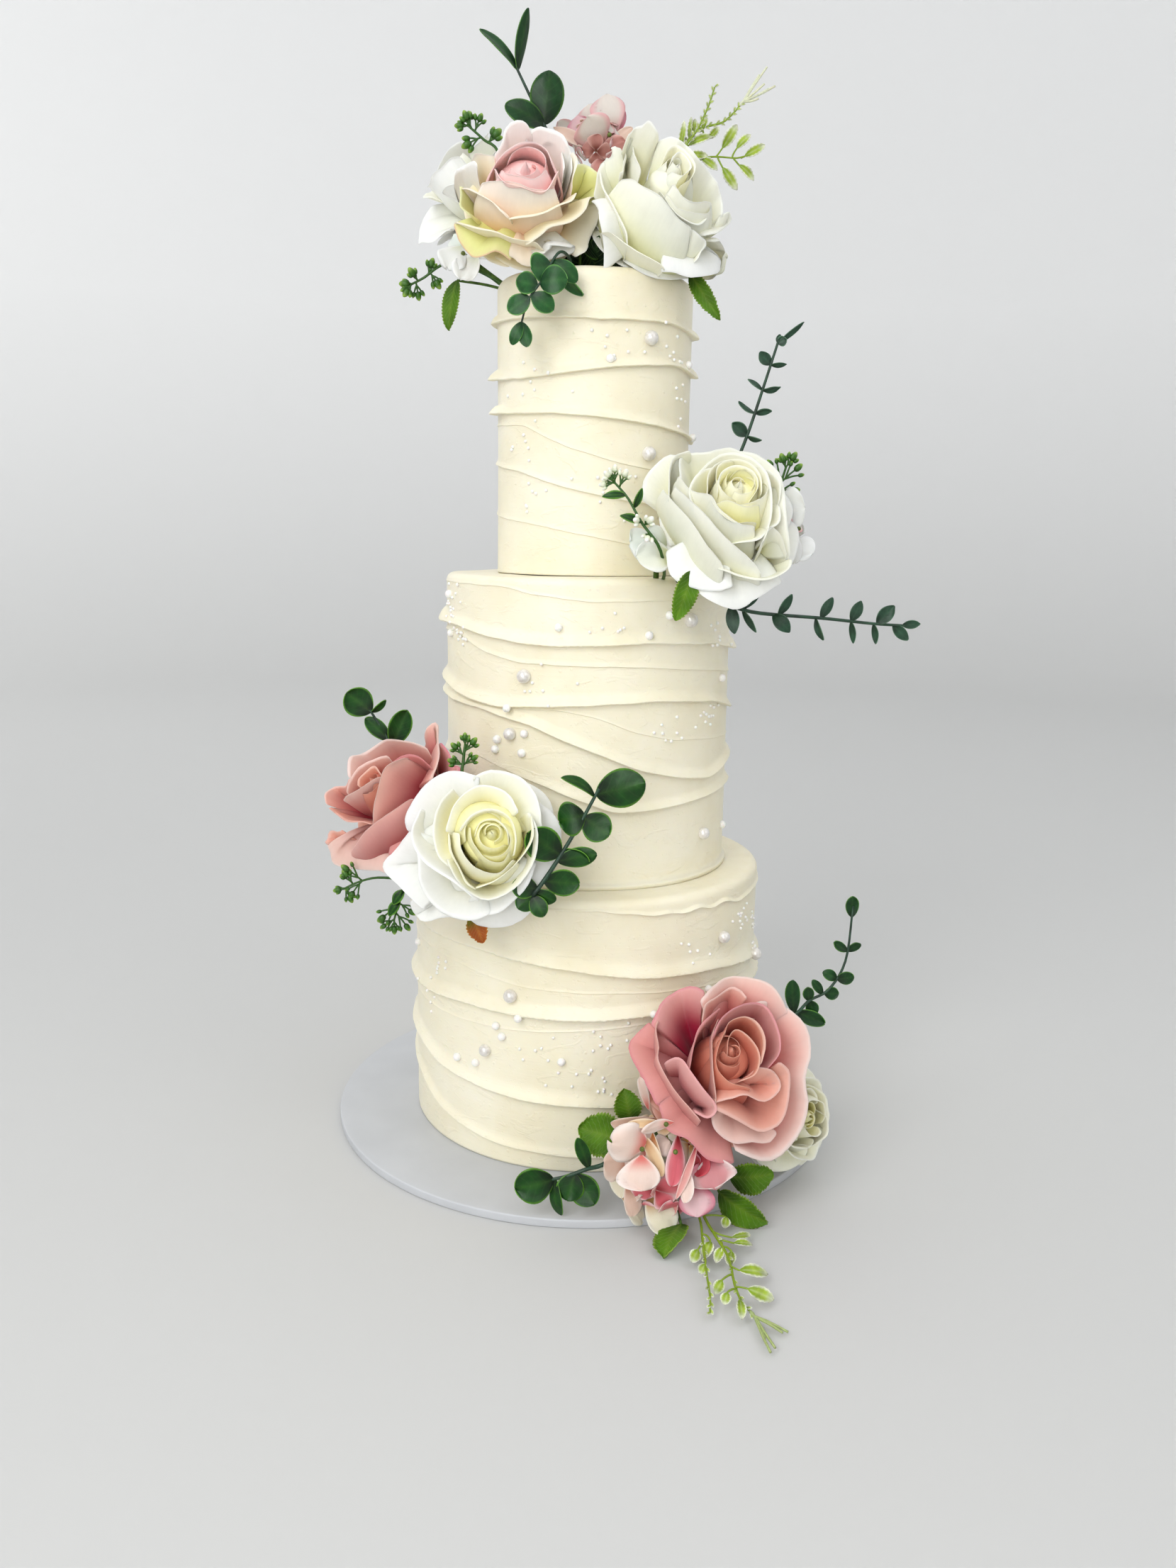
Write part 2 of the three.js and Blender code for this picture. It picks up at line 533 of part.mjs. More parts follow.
// A blade as a ring of outline points between two faces that crown along the midrib.
function bladeGeometry(foot, tip, width, roll, outline) {
  const along = tip.clone().sub(foot);
  const axis = along.clone().normalize();
  const face = new THREE.Vector3(0, -1, 0.15).projectOnPlane(axis).normalize();
  face.applyAxisAngle(axis, radians(roll));
  const side = axis.clone().cross(face);
  const point = (t, across) =>
    foot.clone().addScaledVector(along, t).addScaledVector(side, (across * width) / 2);
  const there = outline.map(([t, across]) => point(t, across));
  const back = outline.slice(1, -1).reverse();
  const again = back.map(([t, across]) => point(t, -across));
  const middle = foot.clone().addScaledVector(along, 0.5);
  const half = LEAF_THICKNESS / 2;
  const front = middle.clone().addScaledVector(face, half);
  const rear = middle.clone().addScaledVector(face, -half);
  return polarSurface(front, [[...there, ...again]], rear);
}

function stemGeometry(curve, radius, steps) {
  const section = new THREE.Shape();
  for (let i = 0; i < STEM_SIDES; i++) {
    const angle = (2 * Math.PI * i) / STEM_SIDES;
    const [x, y] = [radius * Math.cos(angle), radius * Math.sin(angle)];
    if (i === 0) section.moveTo(x, y);
    else section.lineTo(x, y);
  }
  return new THREE.ExtrudeGeometry(section, { steps, extrudePath: curve });
}

// A bud or calyx on its stalk: it widens from the foot to the bud's middle and closes beyond it.
function budGeometry(foot, bud, radius) {
  const axis = bud.clone().sub(foot).normalize();
  const side = new THREE.Vector3(0.3, 1, 0.2).projectOnPlane(axis).normalize();
  const ring = Array.from({ length: BUD_SIDES }, (_, i) => {
    const turned = side.clone().applyAxisAngle(axis, (2 * Math.PI * i) / BUD_SIDES);
    return bud.clone().addScaledVector(turned, radius);
  });
  return polarSurface(bud.clone().addScaledVector(axis, radius), [ring], foot);
}

const ROOTED = 0.95; // what grows from the stem's end starts a little before it, inside the stem

function spraySolid({ root, path, stem, leaves = [], berries = [] }) {
  const curve = new THREE.CatmullRomCurve3(path.map(vector));
  const start = curve.getPoint(0);
  const parts = [stemGeometry(curve, stem, path.length - 1), budGeometry(vector(root), start, stem)];
  for (const [t, offset, width, roll] of leaves) {
    const foot = curve.getPoint(ROOTED * t);
    const outline = width < NARROW_LEAF ? NARROW_OUTLINE : ROUND_OUTLINE;
    parts.push(bladeGeometry(foot, foot.clone().add(vector(offset)), width, roll, outline));
  }
  for (const [t, offset, radius] of berries) {
    const foot = curve.getPoint(ROOTED * t);
    parts.push(budGeometry(foot, foot.clone().add(vector(offset)), radius));
  }
  return parts.map(toSolid).reduce((whole, piece) => whole.add(piece));
}

// ---- assembly ----
const group = new THREE.Group();
const blockers = []; // solids, grown by the play, that later pieces give way to

function addMesh(name, geometry, colour, roughness) {
  const material = new THREE.MeshStandardMaterial({ color: colour, roughness, metalness: 0 });
  const mesh = new THREE.Mesh(geometry, material);
  mesh.name = name;
  group.add(mesh);
}

function giveWay(solid) {
  return largestBody(blockers.reduce((rest, blocker) => rest.subtract(blocker), solid));
}

addMesh("cake_board", boardGeometry(), 0xdfe1e8, 0.45);
blockers.push(toSolid(boardGeometry().translate(0, 0, GAP)));
for (const tier of TIERS) {
  addMesh(tier.name, tierGeometry(tier), 0xf3efdc, 0.55);
  blockers.push(toSolid(tierGeometry(tier, GAP)));
}

const BLOOMS = [
  ...ROSES.map((bloom) => ({ ...bloom, shape: roseGeometry })),
  ...HYDRANGEAS.map((bloom) => ({ ...bloom, shape: hydrangeaGeometry })),
];
for (const bloom of BLOOMS) {
  const frame = facing(bloom.azimuth, bloom.elevation, bloom.at);
  const back = new THREE.Vector3(0, 0, -bloom.depth / 2).applyMatrix4(frame);
  const calyx = toSolid(budGeometry(vector(bloom.root), back, CALYX * bloom.diameter));
  const solid = giveWay(toSolid(bloom.shape(bloom).applyMatrix4(frame)).add(calyx));
  addMesh(bloom.name, toGeometry(solid), bloom.colour, 0.8);
  blockers.push(toSolid(bloom.shape(bloom, BLOOM_PLAY).applyMatrix4(frame)));
}

for (const [name, root, foot, tip, width, roll, colour] of LEAVES) {
  const blade = toSolid(bladeGeometry(vector(foot), vector(tip), width, roll, POINTED_OUTLINE));
  const stalk = toSolid(budGeometry(vector(root), vector(foot), STALK_RADIUS));
  addMesh(name, toGeometry(giveWay(blade.add(stalk))), colour, 0.5);
}
for (const spray of SPRAYS) {
  addMesh(spray.name, toGeometry(giveWay(spraySolid(spray))), spray.colour, 0.5);
}

export default group;
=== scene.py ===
import bpy
import numpy as np
from mathutils import Matrix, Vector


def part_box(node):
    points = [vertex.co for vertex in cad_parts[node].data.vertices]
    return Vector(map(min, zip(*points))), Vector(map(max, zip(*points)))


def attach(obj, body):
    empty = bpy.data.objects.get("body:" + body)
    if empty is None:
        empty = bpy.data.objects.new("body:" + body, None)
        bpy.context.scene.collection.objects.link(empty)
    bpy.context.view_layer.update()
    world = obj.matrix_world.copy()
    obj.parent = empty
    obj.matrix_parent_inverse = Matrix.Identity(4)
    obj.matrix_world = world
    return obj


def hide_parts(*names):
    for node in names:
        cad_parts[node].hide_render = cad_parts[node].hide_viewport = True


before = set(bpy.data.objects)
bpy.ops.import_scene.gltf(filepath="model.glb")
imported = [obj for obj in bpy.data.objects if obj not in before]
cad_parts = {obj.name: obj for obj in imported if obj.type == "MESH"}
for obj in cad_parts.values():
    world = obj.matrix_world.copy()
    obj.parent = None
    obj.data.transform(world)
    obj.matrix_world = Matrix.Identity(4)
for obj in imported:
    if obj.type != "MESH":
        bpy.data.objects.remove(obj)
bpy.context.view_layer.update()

# ---- cake board ----
# A 12 inch round board of thin fibreboard, wrapped in white satin paper that is drawn over the rim and
# pleated under it. It carries the whole cake and is the flat face that the cake rests on.
MM = 0.001
BOARD_COLUMNS = 720
BOARD_EDGE = 0.9
PLEAT_SPACING = 24.0
PLEAT_DEPTH = 0.16
PLEAT_WIDTH = 0.03  # of the spacing
board_low, board_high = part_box("cake_board")
BOARD_RADIUS = (board_high.x - board_low.x) / 2 / MM
BOARD_THICKNESS = board_high.z / MM


def linear(colour):
    """Linear RGBA of an sRGB hex value: c / 12.92 up to 0.04045, and ((c + 0.055) / 1.055) ** 2.4 above
    it."""
    srgb = np.array([int(colour[i:i + 2], 16) for i in (1, 3, 5)]) / 255
    rgb = np.where(srgb <= 0.04045, srgb / 12.92, ((srgb + 0.055) / 1.055) ** 2.4)
    return (*rgb.tolist(), 1.0)


def add_node(tree, kind, inputs=None, ramp=None, **settings):
    """Adds one shader node: settings are its own properties, ramp its colour stops, and an input is linked
    where it is another node, which stands for its first output, or a socket, and set where it is a
    value."""
    node = tree.nodes.new("ShaderNode" + kind)
    for key, value in settings.items():
        setattr(node, key, value)
    if ramp:
        while len(node.color_ramp.elements) < len(ramp):
            node.color_ramp.elements.new(0.5)
        for stop, (place, colour) in zip(node.color_ramp.elements, ramp):
            stop.position = place
            stop.color = linear(colour) if isinstance(colour, str) else (colour, colour, colour, 1)
    for key, value in (inputs or {}).items():
        if isinstance(value, bpy.types.Node):
            tree.links.new(value.outputs[0], node.inputs[key])
        elif isinstance(value, bpy.types.NodeSocket):
            tree.links.new(value, node.inputs[key])
        else:
            node.inputs[key].default_value = value
    return node


def new_material(name, **principled):
    """A material with one Principled shader: (material, node tree, shader, Object coordinates)."""
    material = bpy.data.materials.new(name)
    material.use_nodes = True
    tree = material.node_tree
    tree.nodes.clear()
    shader = add_node(tree, "BsdfPrincipled", principled)
    add_node(tree, "OutputMaterial", {"Surface": shader.outputs["BSDF"]})
    return material, tree, shader, add_node(tree, "TexCoord").outputs["Object"]


def per(size):
    """Scale of a texture whose features are that many millimetres across."""
    return 1 / (size * MM)


def closed_faces(rows, columns):
    """Faces of a grid that closes round its columns, numbered row by row from the lowest, with a fan at
    each end to the two points that follow the grid."""
    row, column = np.meshgrid(np.arange(rows - 1), np.arange(columns), indexing="ij")
    after = (column + 1) % columns
    quads = np.stack([row * columns + column, row * columns + after, (row + 1) * columns + after,
                      (row + 1) * columns + column], -1).reshape(-1, 4)
    c = np.arange(columns)
    first, last = rows * columns, rows * columns + 1
    under = np.stack([np.full(columns, first), (c + 1) % columns, c], -1)
    over = np.stack([np.full(columns, last), first - columns + c, first - columns + (c + 1) % columns], -1)
    return [quads, under, over]


def make_piece(name, points, faces, material, nodes=(), dye=None, uv=None):
    """A piece on the body "root" from points in millimetres and arrays of faces. dye is a colour for each
    point, and uv its place on the piece's own map."""
    mesh = bpy.data.meshes.new(name)
    polygons = [face for group in faces for face in group.tolist()]
    mesh.from_pydata((points.reshape(-1, 3) * MM).tolist(), [], polygons)
    mesh.shade_smooth()
    if dye is not None:
        layer = mesh.attributes.new("dye", "FLOAT_COLOR", "POINT")
        layer.data.foreach_set("color", np.ascontiguousarray(dye, np.float32).ravel())
    if uv is not None:
        corner = np.zeros(len(mesh.loops), np.int32)
        mesh.loops.foreach_get("vertex_index", corner)
        uv_layer = mesh.uv_layers.new(name="UVMap")
        uv_layer.data.foreach_set("uv", uv.reshape(-1, 2)[corner].astype(np.float32).ravel())
    mesh.materials.append(material)
    piece = bpy.data.objects.new(name, mesh)
    bpy.context.scene.collection.objects.link(piece)
    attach(piece, "root")
    if nodes:
        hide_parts(*nodes)


def board_points():
    """The board's outline carried round Z: a flat underside, a wall with rounded edges, a flat top. At each
    pleat the wall dips in by a narrow bell curve of the angle."""
    angle = np.arange(BOARD_COLUMNS) * 2 * np.pi / BOARD_COLUMNS
    bend = np.linspace(0, np.pi / 2, 5)
    arc_out, arc_up = BOARD_EDGE * np.sin(bend), BOARD_EDGE * (1 - np.cos(bend))
    inner = BOARD_RADIUS - BOARD_EDGE
    rings = inner * np.array([0.4, 0.75, 0.97])
    radius = np.concatenate([rings, inner + arc_out, inner + arc_out[::-1], rings[::-1]])
    height = np.concatenate([[0, 0, 0], arc_up, BOARD_THICKNESS - arc_up[::-1], [BOARD_THICKNESS] * 3])
    pleats = round(2 * np.pi * BOARD_RADIUS / PLEAT_SPACING)
    wander = 0.25 * np.sin(3 * angle) + 0.2 * np.sin(7 * angle + 1)
    from_pleat = (angle * pleats / (2 * np.pi) + wander + 0.5) % 1 - 0.5
    dip = PLEAT_DEPTH * np.exp(-(from_pleat / PLEAT_WIDTH) ** 2)
    on_wall = np.clip((radius - inner) / BOARD_EDGE, 0, 1)
    r = radius[:, None] - dip * on_wall[:, None]
    grid = np.stack([r * np.cos(angle), r * np.sin(angle), height[:, None] + 0 * r], -1)
    poles = [[0, 0, 0], [0, 0, BOARD_THICKNESS]]
    return np.concatenate([grid.reshape(-1, 3), poles]), closed_faces(len(radius), BOARD_COLUMNS)


# Satin coated paper: a soft broad highlight, and a faint dimpled grain of about 1.5 mm pressed into it.
board_paper, tree, shader, place = new_material("satin_coated_paper", **{"Roughness": 0.42, "IOR": 1.48})
mottle = add_node(tree, "TexNoise", {"Vector": place, "Scale": per(40), "Detail": 3})
tone = add_node(tree, "ValToRGB", {"Fac": mottle}, ramp=[(0.3, "#BEC0C3"), (0.7, "#C6C8CB")])
grain = add_node(tree, "TexNoise", {"Vector": place, "Scale": per(1.5), "Detail": 2})
bump = add_node(tree, "Bump", {"Height": grain, "Strength": 0.12, "Distance": 0.0003})
tree.links.new(tone.outputs["Color"], shader.inputs["Base Color"])
tree.links.new(bump.outputs["Normal"], shader.inputs["Normal"])

points, faces = board_points()
make_piece("wrapped_board", points, faces, board_paper, ["cake_board"])

# ---- buttercream tiers ----
# Three round cakes in ivory buttercream. A palette knife has laid the cream on in bands: each band swells
# toward its lower edge and ends there in a thin lip, torn a little where the knife left it. Faint creases
# run between.
TIER_COLUMNS = 800
RIM_ROWS = 7
BAND_ROWS = 13
RIDGE_ROUNDING = 4  # degrees
LEAST_BAND = 0.5  # bands that meet stay this far apart
FLAT = 2.0  # a lip below this stands out so little that its underside is flattened
STEP_IN = 0.55  # the drop below a lip to where the next band starts
FOOT_HEIGHT = 2.6  # of the bead of cream that a foot leaves round the floor

# A ridge is its lip, the height of its swell, the roughness of its torn edge, and its path as degrees round
# the tier (0 at the front, positive to the right) and height. A crease is a ridge with a small lip.
BOTTOM_RIDGES = [
    dict(lip=0.7, swell=1.6, rag=0.25, path=[(-180, 156), (-60, 158), (5, 157), (27, 152.5), (41, 153.5),
         (60, 150), (90, 153), (130, 158)], tear=(45, 32, 1.5)),
    dict(lip=3.5, swell=6.5, rag=0.42, path=[(-150, 138), (-100, 134), (-62, 132), (-28, 130.5), (0, 124),
         (16, 119.5), (42, 117), (79, 108), (120, 106), (150, 118)]),
    dict(lip=0.4, swell=1.0, rag=0.1, path=[(-150, 120), (-60, 119), (-40, 117), (-20, 112), (10, 110.5),
         (60, 104), (120, 100), (160, 112)]),
    dict(lip=3.7, swell=6.1, rag=0.5, path=[(-150, 100), (-100, 93), (-67, 93), (-39, 97), (5, 97),
         (40, 99), (80, 96), (120, 88)]),
    dict(lip=0.45, swell=1.0, rag=0.1, path=[(-150, 86), (-100, 84), (-56, 83.5), (-23, 86), (12, 91),
         (40, 93), (90, 88), (120, 80), (160, 84)]),
    dict(lip=3.3, swell=5.8, rag=0.22, path=[(-150, 66), (-100, 64), (-68, 59), (-54, 53), (-28, 48.3),
         (6, 45.5), (40, 44), (90, 52), (140, 62)]),
    dict(lip=2.0, swell=4.3, rag=0.12, path=[(-150, 48), (-100, 46), (-68, 35), (-52, 24), (-28, 17),
         (20, 14), (60, 18), (110, 34)]),
]
MIDDLE_RIDGES = [
    dict(lip=0.5, swell=1.2, rag=0.12, path=[(-150, 324), (-90, 327), (-33, 326), (-21, 322.5), (0, 319),
         (33, 320), (90, 322), (140, 318)]),
    dict(lip=3.3, swell=5.0, rag=0.2, path=[(-150, 296), (-100, 305), (-59, 304), (-37, 299), (-15, 296),
         (25, 298), (54, 296), (76, 291), (130, 286)], pokes=[(-84, 1.6, 8), (80, 1.4, 9)]),
    dict(lip=0.8, swell=2.2, rag=0.15, path=[(-150, 286), (-100, 298), (-62, 300), (-44, 291), (-25, 286),
         (19, 285), (60, 280), (110, 272)]),
    dict(lip=3.3, swell=5.0, rag=0.18, path=[(-150, 262), (-100, 274), (-78, 271), (-54, 265), (-35, 262),
         (-8, 264.5), (25, 267), (55, 264), (80, 256), (130, 250)]),
    dict(lip=0.4, swell=1.0, rag=0.1, path=[(-150, 258), (-90, 268), (-41, 261.2), (-8, 261.5), (5, 257),
         (19, 249), (35, 244), (78, 239.5), (120, 240), (160, 252)]),
    dict(lip=3.1, swell=4.7, rag=0.2, path=[(-150, 250), (-90, 264), (-41, 259), (-21, 253.5),
         (-8, 245.5), (6, 238), (19, 229.5), (35, 224), (55, 220), (78, 227), (130, 234)]),
    dict(lip=2.7, swell=4.3, rag=0.15, gap=(-50, 36), path=[(-150, 200), (-90, 228), (-45, 232),
         (-17, 221), (11, 206), (36, 208), (80, 213), (120, 205)]),
]
TOP_RIDGES = [
    dict(lip=2.6, swell=2.6, rag=0.12, path=[(-120, 469), (-58, 467), (3, 464), (45, 465), (78, 461),
         (130, 466)], pokes=[(80, 1.8, 9), (-82, 1.2, 7)]),
    dict(lip=2.9, swell=3.2, rag=0.12, path=[(-135, 446), (-84, 438), (-45, 435.5), (-16, 437),
         (10, 440.5), (51, 444), (80, 440), (130, 449)], pokes=[(-78, 3.4, 8), (82, 1.6, 8)]),
    dict(lip=2.6, swell=3.0, rag=0.14, path=[(-140, 423), (-72, 419), (-16, 416.5), (25, 413), (60, 409),
         (90, 405), (140, 414)], pokes=[(-72, 3.8, 9)]),
    dict(lip=0.5, swell=1.4, rag=0.1, path=[(-140, 408), (-100, 414), (-44, 411), (-15, 399), (13, 391.5),
         (50, 386), (110, 389), (160, 402)]),
    dict(lip=1.2, swell=2.2, rag=0.25, path=[(-140, 399), (-74, 391), (-47, 387), (-15, 378), (17, 372),
         (60, 368), (120, 382)]),
    dict(lip=0.6, swell=1.4, rag=0.18, path=[(-140, 372), (-74, 363), (-38, 359), (5, 351.5), (50, 344),
         (110, 352), (160, 366)]),
]


def around(angle, seed, lowest, highest):
    """Smooth noise that closes round a tier: a sum of cosines with seeded sizes and phases, whose counts
    run from lowest to highest; its largest value is 1."""
    rng = np.random.default_rng(seed)
    count = np.arange(lowest, highest + 1)[:, None]
    size = rng.uniform(0.3, 1, count.shape)
    total = (size * np.cos(count * angle + rng.uniform(0, 2 * np.pi, count.shape))).sum(0)
    return total / np.abs(total).max()


def ridge_heights(path, degrees):
    """Straight runs between the path's points, closed round the tier and rounded by a narrow bell curve."""
    at, height = np.array(path, float).T
    line = np.interp(degrees, at, height, period=360)
    away = np.minimum(degrees - degrees[0], 360 - (degrees - degrees[0]))
    weight = np.exp(-(away / RIDGE_ROUNDING) ** 2)
    return np.fft.irfft(np.fft.rfft(line) * np.fft.rfft(weight / weight.sum()), len(line))


def bell(degrees, centre, width):
    """A bell curve of the angle from a centre, 1 there and about a third at the width."""
    away = (degrees - centre + 180) % 360 - 180
    return np.exp(-(away / width) ** 2)


def coat_profile(radius, floor, top, rim, ridges, seed, shift, foot=0.0):
    """Radius and height of the coat, row by row from the floor to the top, for each column round the tier.
    A band's radius is the wall's plus the lip, falling in a straight slope over the swell above it; under
    the lip the wall steps back in. The wall wanders by under half a millimetre. The tier's axis is shifted
    along X."""
    degrees = np.arange(TIER_COLUMNS) * 360 / TIER_COLUMNS - 180
    angle = np.radians(degrees)
    wall = radius + 0.35 * around(angle, seed, 2, 6) + 0.08 * around(angle, seed + 1, 8, 40)
    rows_r, rows_z = [], []

    def row(r, z):
        rows_r.append(r + 0 * angle)
        rows_z.append(z + 0 * angle)

    edge_line = top + 0.25 * around(angle, seed + 2, 2, 9)
    for share in (0.2, 0.5, 0.72, 0.86, 0.95):
        waves = 0.25 * np.sin(9 * share + 2 * angle) * (share < 0.9)
        row(share * (radius - rim), edge_line + waves)
    bend = np.linspace(0, np.pi / 2, RIM_ROWS)
    for b in bend:
        row(wall - rim * (1 - np.sin(b)), edge_line - rim * (1 - np.cos(b)))
    above = rows_z[-1]
    share = 1 - np.linspace(1, 0, BAND_ROWS + 1)[1:] ** 1.35
    for number, ridge in enumerate(ridges):
        own = seed + 10 * number
        rag = ridge["rag"]
        edge = ridge_heights(ridge["path"], degrees) + 0.25 * around(angle, own + 3, 8, 30)
        lip = ridge["lip"] * (1 + 0.12 * around(angle, own + 5, 3, 14)
                              + 0.06 * around(angle, own + 6, 20, 60))
        if "tear" in ridge:
            centre, width, size = ridge["tear"]
            window = bell(degrees, centre, width)
            edge = edge + size * window * around(angle, own + 7, 5, 36)
            lip = lip + 0.9 * window * (1 + around(angle, own + 8, 12, 50))
        if "gap" in ridge:
            lip = lip * (1 - 0.95 * bell(degrees, *ridge["gap"]))
        swell = ridge["swell"]
        round_off = 0 * angle
        for centre, extra, width in ridge.get("pokes", ()):
            blob = bell(degrees, centre, width)
            lip = lip + extra * blob * (1 + 0.25 * around(angle, own + 9, 20, 90))
            swell = swell + 1.6 * blob
            round_off = round_off + 0.8 * blob
        edge = np.minimum(edge, above - LEAST_BAND)
        room = np.clip((above - edge) / (0.7 * swell), 0, 1)
        lip = np.maximum(lip * room, 0.02)
        thin = np.minimum(1, lip / FLAT)
        for s in share[:-1]:
            z = above - (above - edge) * s
            slope = np.clip(1 - (z - edge) / swell, 0, 1)
            row(wall + lip * slope ** (1.05 - 0.75 * np.clip(round_off, 0, 1)), z)
        torn = rag * thin * (1.1 + around(angle, own + 4, 50, 240))
        torn = torn * (1 + 0.8 * around(angle, own + 2, 3, 12))
        frayed = lip + 0.5 * rag * thin * around(angle, own + 1, 60, 260)
        row(wall + 0.99 * lip, edge - 0.05 * thin)
        row(wall + frayed, edge - 0.10 * thin - 0.5 * torn)
        row(wall + frayed - 0.25 * thin, edge - 0.40 * thin - torn)
        row(wall + 0.66 * lip, edge - 0.62 * thin - torn)
        row(wall + 0.15 * lip, edge - 0.45 * thin)
        above = edge - STEP_IN
        row(wall, above)
    last = floor + (FOOT_HEIGHT if foot else 1.0)
    for s in np.linspace(0, 1, BAND_ROWS)[1:]:
        row(wall, above - (above - last) * s)
    if foot:
        row(wall + 0.9 * foot, last - 0.15)
        row(wall + foot, last - 0.7)
    row(wall + foot, floor + 0.1)
    row(0.97 * wall, floor)
    row(0.5 * wall, floor)
    r, z = np.array(rows_r)[::-1], np.array(rows_z)[::-1]
    up = np.clip((z - floor) / (top - floor), 0, 1)
    r = r * (1 + 0.0025 * np.sin(5 * up + 2 * angle + seed))
    return dict(r=r, z=z, degrees=degrees, floor=floor, shift=shift)


def coat_points(coat):
    """Turns a coat's radii and heights into points: angle 0 is the front, and the columns run
    counter-clockwise."""
    angle = np.radians(coat["degrees"])
    r, z, shift = coat["r"], coat["z"], coat["shift"]
    grid = np.stack([shift + r * np.sin(angle), -r * np.cos(angle), z], -1)
    poles = [[shift, 0, coat["floor"]], [shift, 0, z[-1].mean()]]
    return np.concatenate([grid.reshape(-1, 3), poles])


# Ivory vanilla buttercream: butter fat gives it a soft satin sheen and lets light a few millimetres in, so
# edges glow. The knife leaves fine level streaks about 1.5 mm apart, torn patches, specks and air pits of
# about 2 mm.
cream, tree, shader, place = new_material(
    "vanilla_buttercream",
    **{"Roughness": 0.47, "IOR": 1.46, "Subsurface Weight": 0.22, "Subsurface Scale": 0.004,
       "Subsurface Radius": (1.0, 0.75, 0.4)})
cloud = add_node(tree, "TexNoise", {"Vector": place, "Scale": per(55), "Detail": 4, "Roughness": 0.6})
tone = add_node(tree, "ValToRGB", {"Fac": cloud},
                ramp=[(0.28, "#ECE3C6"), (0.5, "#F2EBD2"), (0.74, "#F6F0DC")])
stretch = add_node(tree, "Mapping", {"Vector": place, "Scale": (1, 1, 11)})
streak = add_node(tree, "TexNoise", {"Vector": stretch, "Scale": per(16), "Detail": 3})
pit = add_node(tree, "TexNoise", {"Vector": place, "Scale": per(2.2), "Detail": 2, "Roughness": 0.5})
pitted = add_node(tree, "ValToRGB", {"Fac": pit}, ramp=[(0.24, 0.0), (0.36, 1.0)])
drag = add_node(tree, "Mapping", {"Vector": place, "Scale": (1, 1, 2.2)})
dragged = add_node(tree, "TexNoise", {"Vector": drag, "Scale": per(22), "Detail": 5,
                                      "Distortion": 1.2})
torn = add_node(tree, "ValToRGB", {"Fac": dragged},
                ramp=[(0.58, 0.0), (0.63, 0.7), (0.75, 1.0)])
speck = add_node(tree, "TexVoronoi", {"Vector": place, "Scale": per(7)})
specks = add_node(tree, "ValToRGB", {"Fac": speck}, ramp=[(0.05, 1.0), (0.14, 0.0)])
streaks = add_node(tree, "Bump", {"Height": streak, "Strength": 0.11, "Distance": 0.0008})
tears = add_node(tree, "Bump", {"Height": torn, "Strength": 0.35, "Distance": 0.0006,
                                "Normal": streaks})
grains = add_node(tree, "Bump", {"Height": specks, "Strength": 0.35, "Distance": 0.0005,
                                 "Normal": tears})
pits = add_node(tree, "Bump", {"Height": pitted, "Strength": 0.32, "Distance": 0.0005,
                               "Normal": grains})
tree.links.new(tone.outputs["Color"], shader.inputs["Base Color"])
tree.links.new(pits.outputs["Normal"], shader.inputs["Normal"])

TIERS = {
    "bottom_tier": dict(radius=104, top=162, rim=4.5, shift=0, seed=11, ridges=BOTTOM_RIDGES),
    "middle_tier": dict(radius=83, top=331, rim=4, shift=-0.9, seed=23, ridges=MIDDLE_RIDGES, foot=1.9),
    "top_tier": dict(radius=54.6, top=490.8, rim=6, shift=0.9, seed=37, ridges=TOP_RIDGES),
}
coats = {}
for tier, size in TIERS.items():
    low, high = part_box(tier)
    coat = coat_profile(floor=low.z / MM, **size)
    coats[tier] = coat
    make_piece(tier.replace("tier", "coat"), coat_points(coat), closed_faces(*coat["r"].shape), cream,
               [tier])

# ---- sugar pearls ----
# Pressed sugar balls in three sizes: large pearls with a silver nacre, plain white medium ones, and fine
# nonpareils scattered in loose groups. Each sits about a third deep in the soft cream.
LARGE_PEARL = 3.7  # radius, like the two below
MEDIUM_PEARL = 2.35
TINY_PEARL = 0.95
PEARL_RISE = 0.34  # of its radius: a pearl's centre stands this far outside the coat
# Each entry is the tier's first letter, degrees round it and height.
LARGE_PEARLS = [
    ("t", 32, 455.8), ("t", 32, 396.6), ("m", -24, 278.9), ("m", -30, 247), ("m", 41, 308.9),
    ("m", 53, 187.4), ("b", -23, 106), ("b", -32, 70.6), ("b", 48, 132), ("b", 69, 111.1), ("t", 150, 430),
    ("t", -130, 455), ("m", 118, 295), ("m", -150, 240), ("m", 176, 308), ("m", 140, 212), ("b", 128, 132),
    ("b", -112, 118), ("b", 165, 78), ("b", -140, 60),
]
MEDIUM_PEARLS = [
    ("t", 8, 444.1), ("t", 69, 445.8), ("t", 78, 407.7), ("m", -11, 305.5), ("m", 22, 301.7),
    ("m", 31, 311.9), ("m", -71, 319.3), ("m", -69, 297.7), ("m", -30, 261.4), ("m", -24, 247.8),
    ("m", -36, 243.1), ("m", -37, 237.4), ("m", -25, 237.1), ("m", 66, 274.5), ("m", 75, 185.7),
    ("b", -20, 94.6), ("b", -28, 86.8), ("b", -26, 81.1), ("b", -44, 60.3), ("b", -36, 61.2),
    ("b", -7, 71.1), ("b", 20, 98.5), ("b", 41, 104.6), ("b", -73, 113.6), ("t", 160, 418),
    ("t", -122, 440), ("m", 126, 288), ("m", 132, 280), ("m", -140, 234), ("m", -158, 246),
    ("b", 134, 122), ("b", 120, 124), ("b", 172, 70), ("b", 158, 84), ("b", -120, 108),
]
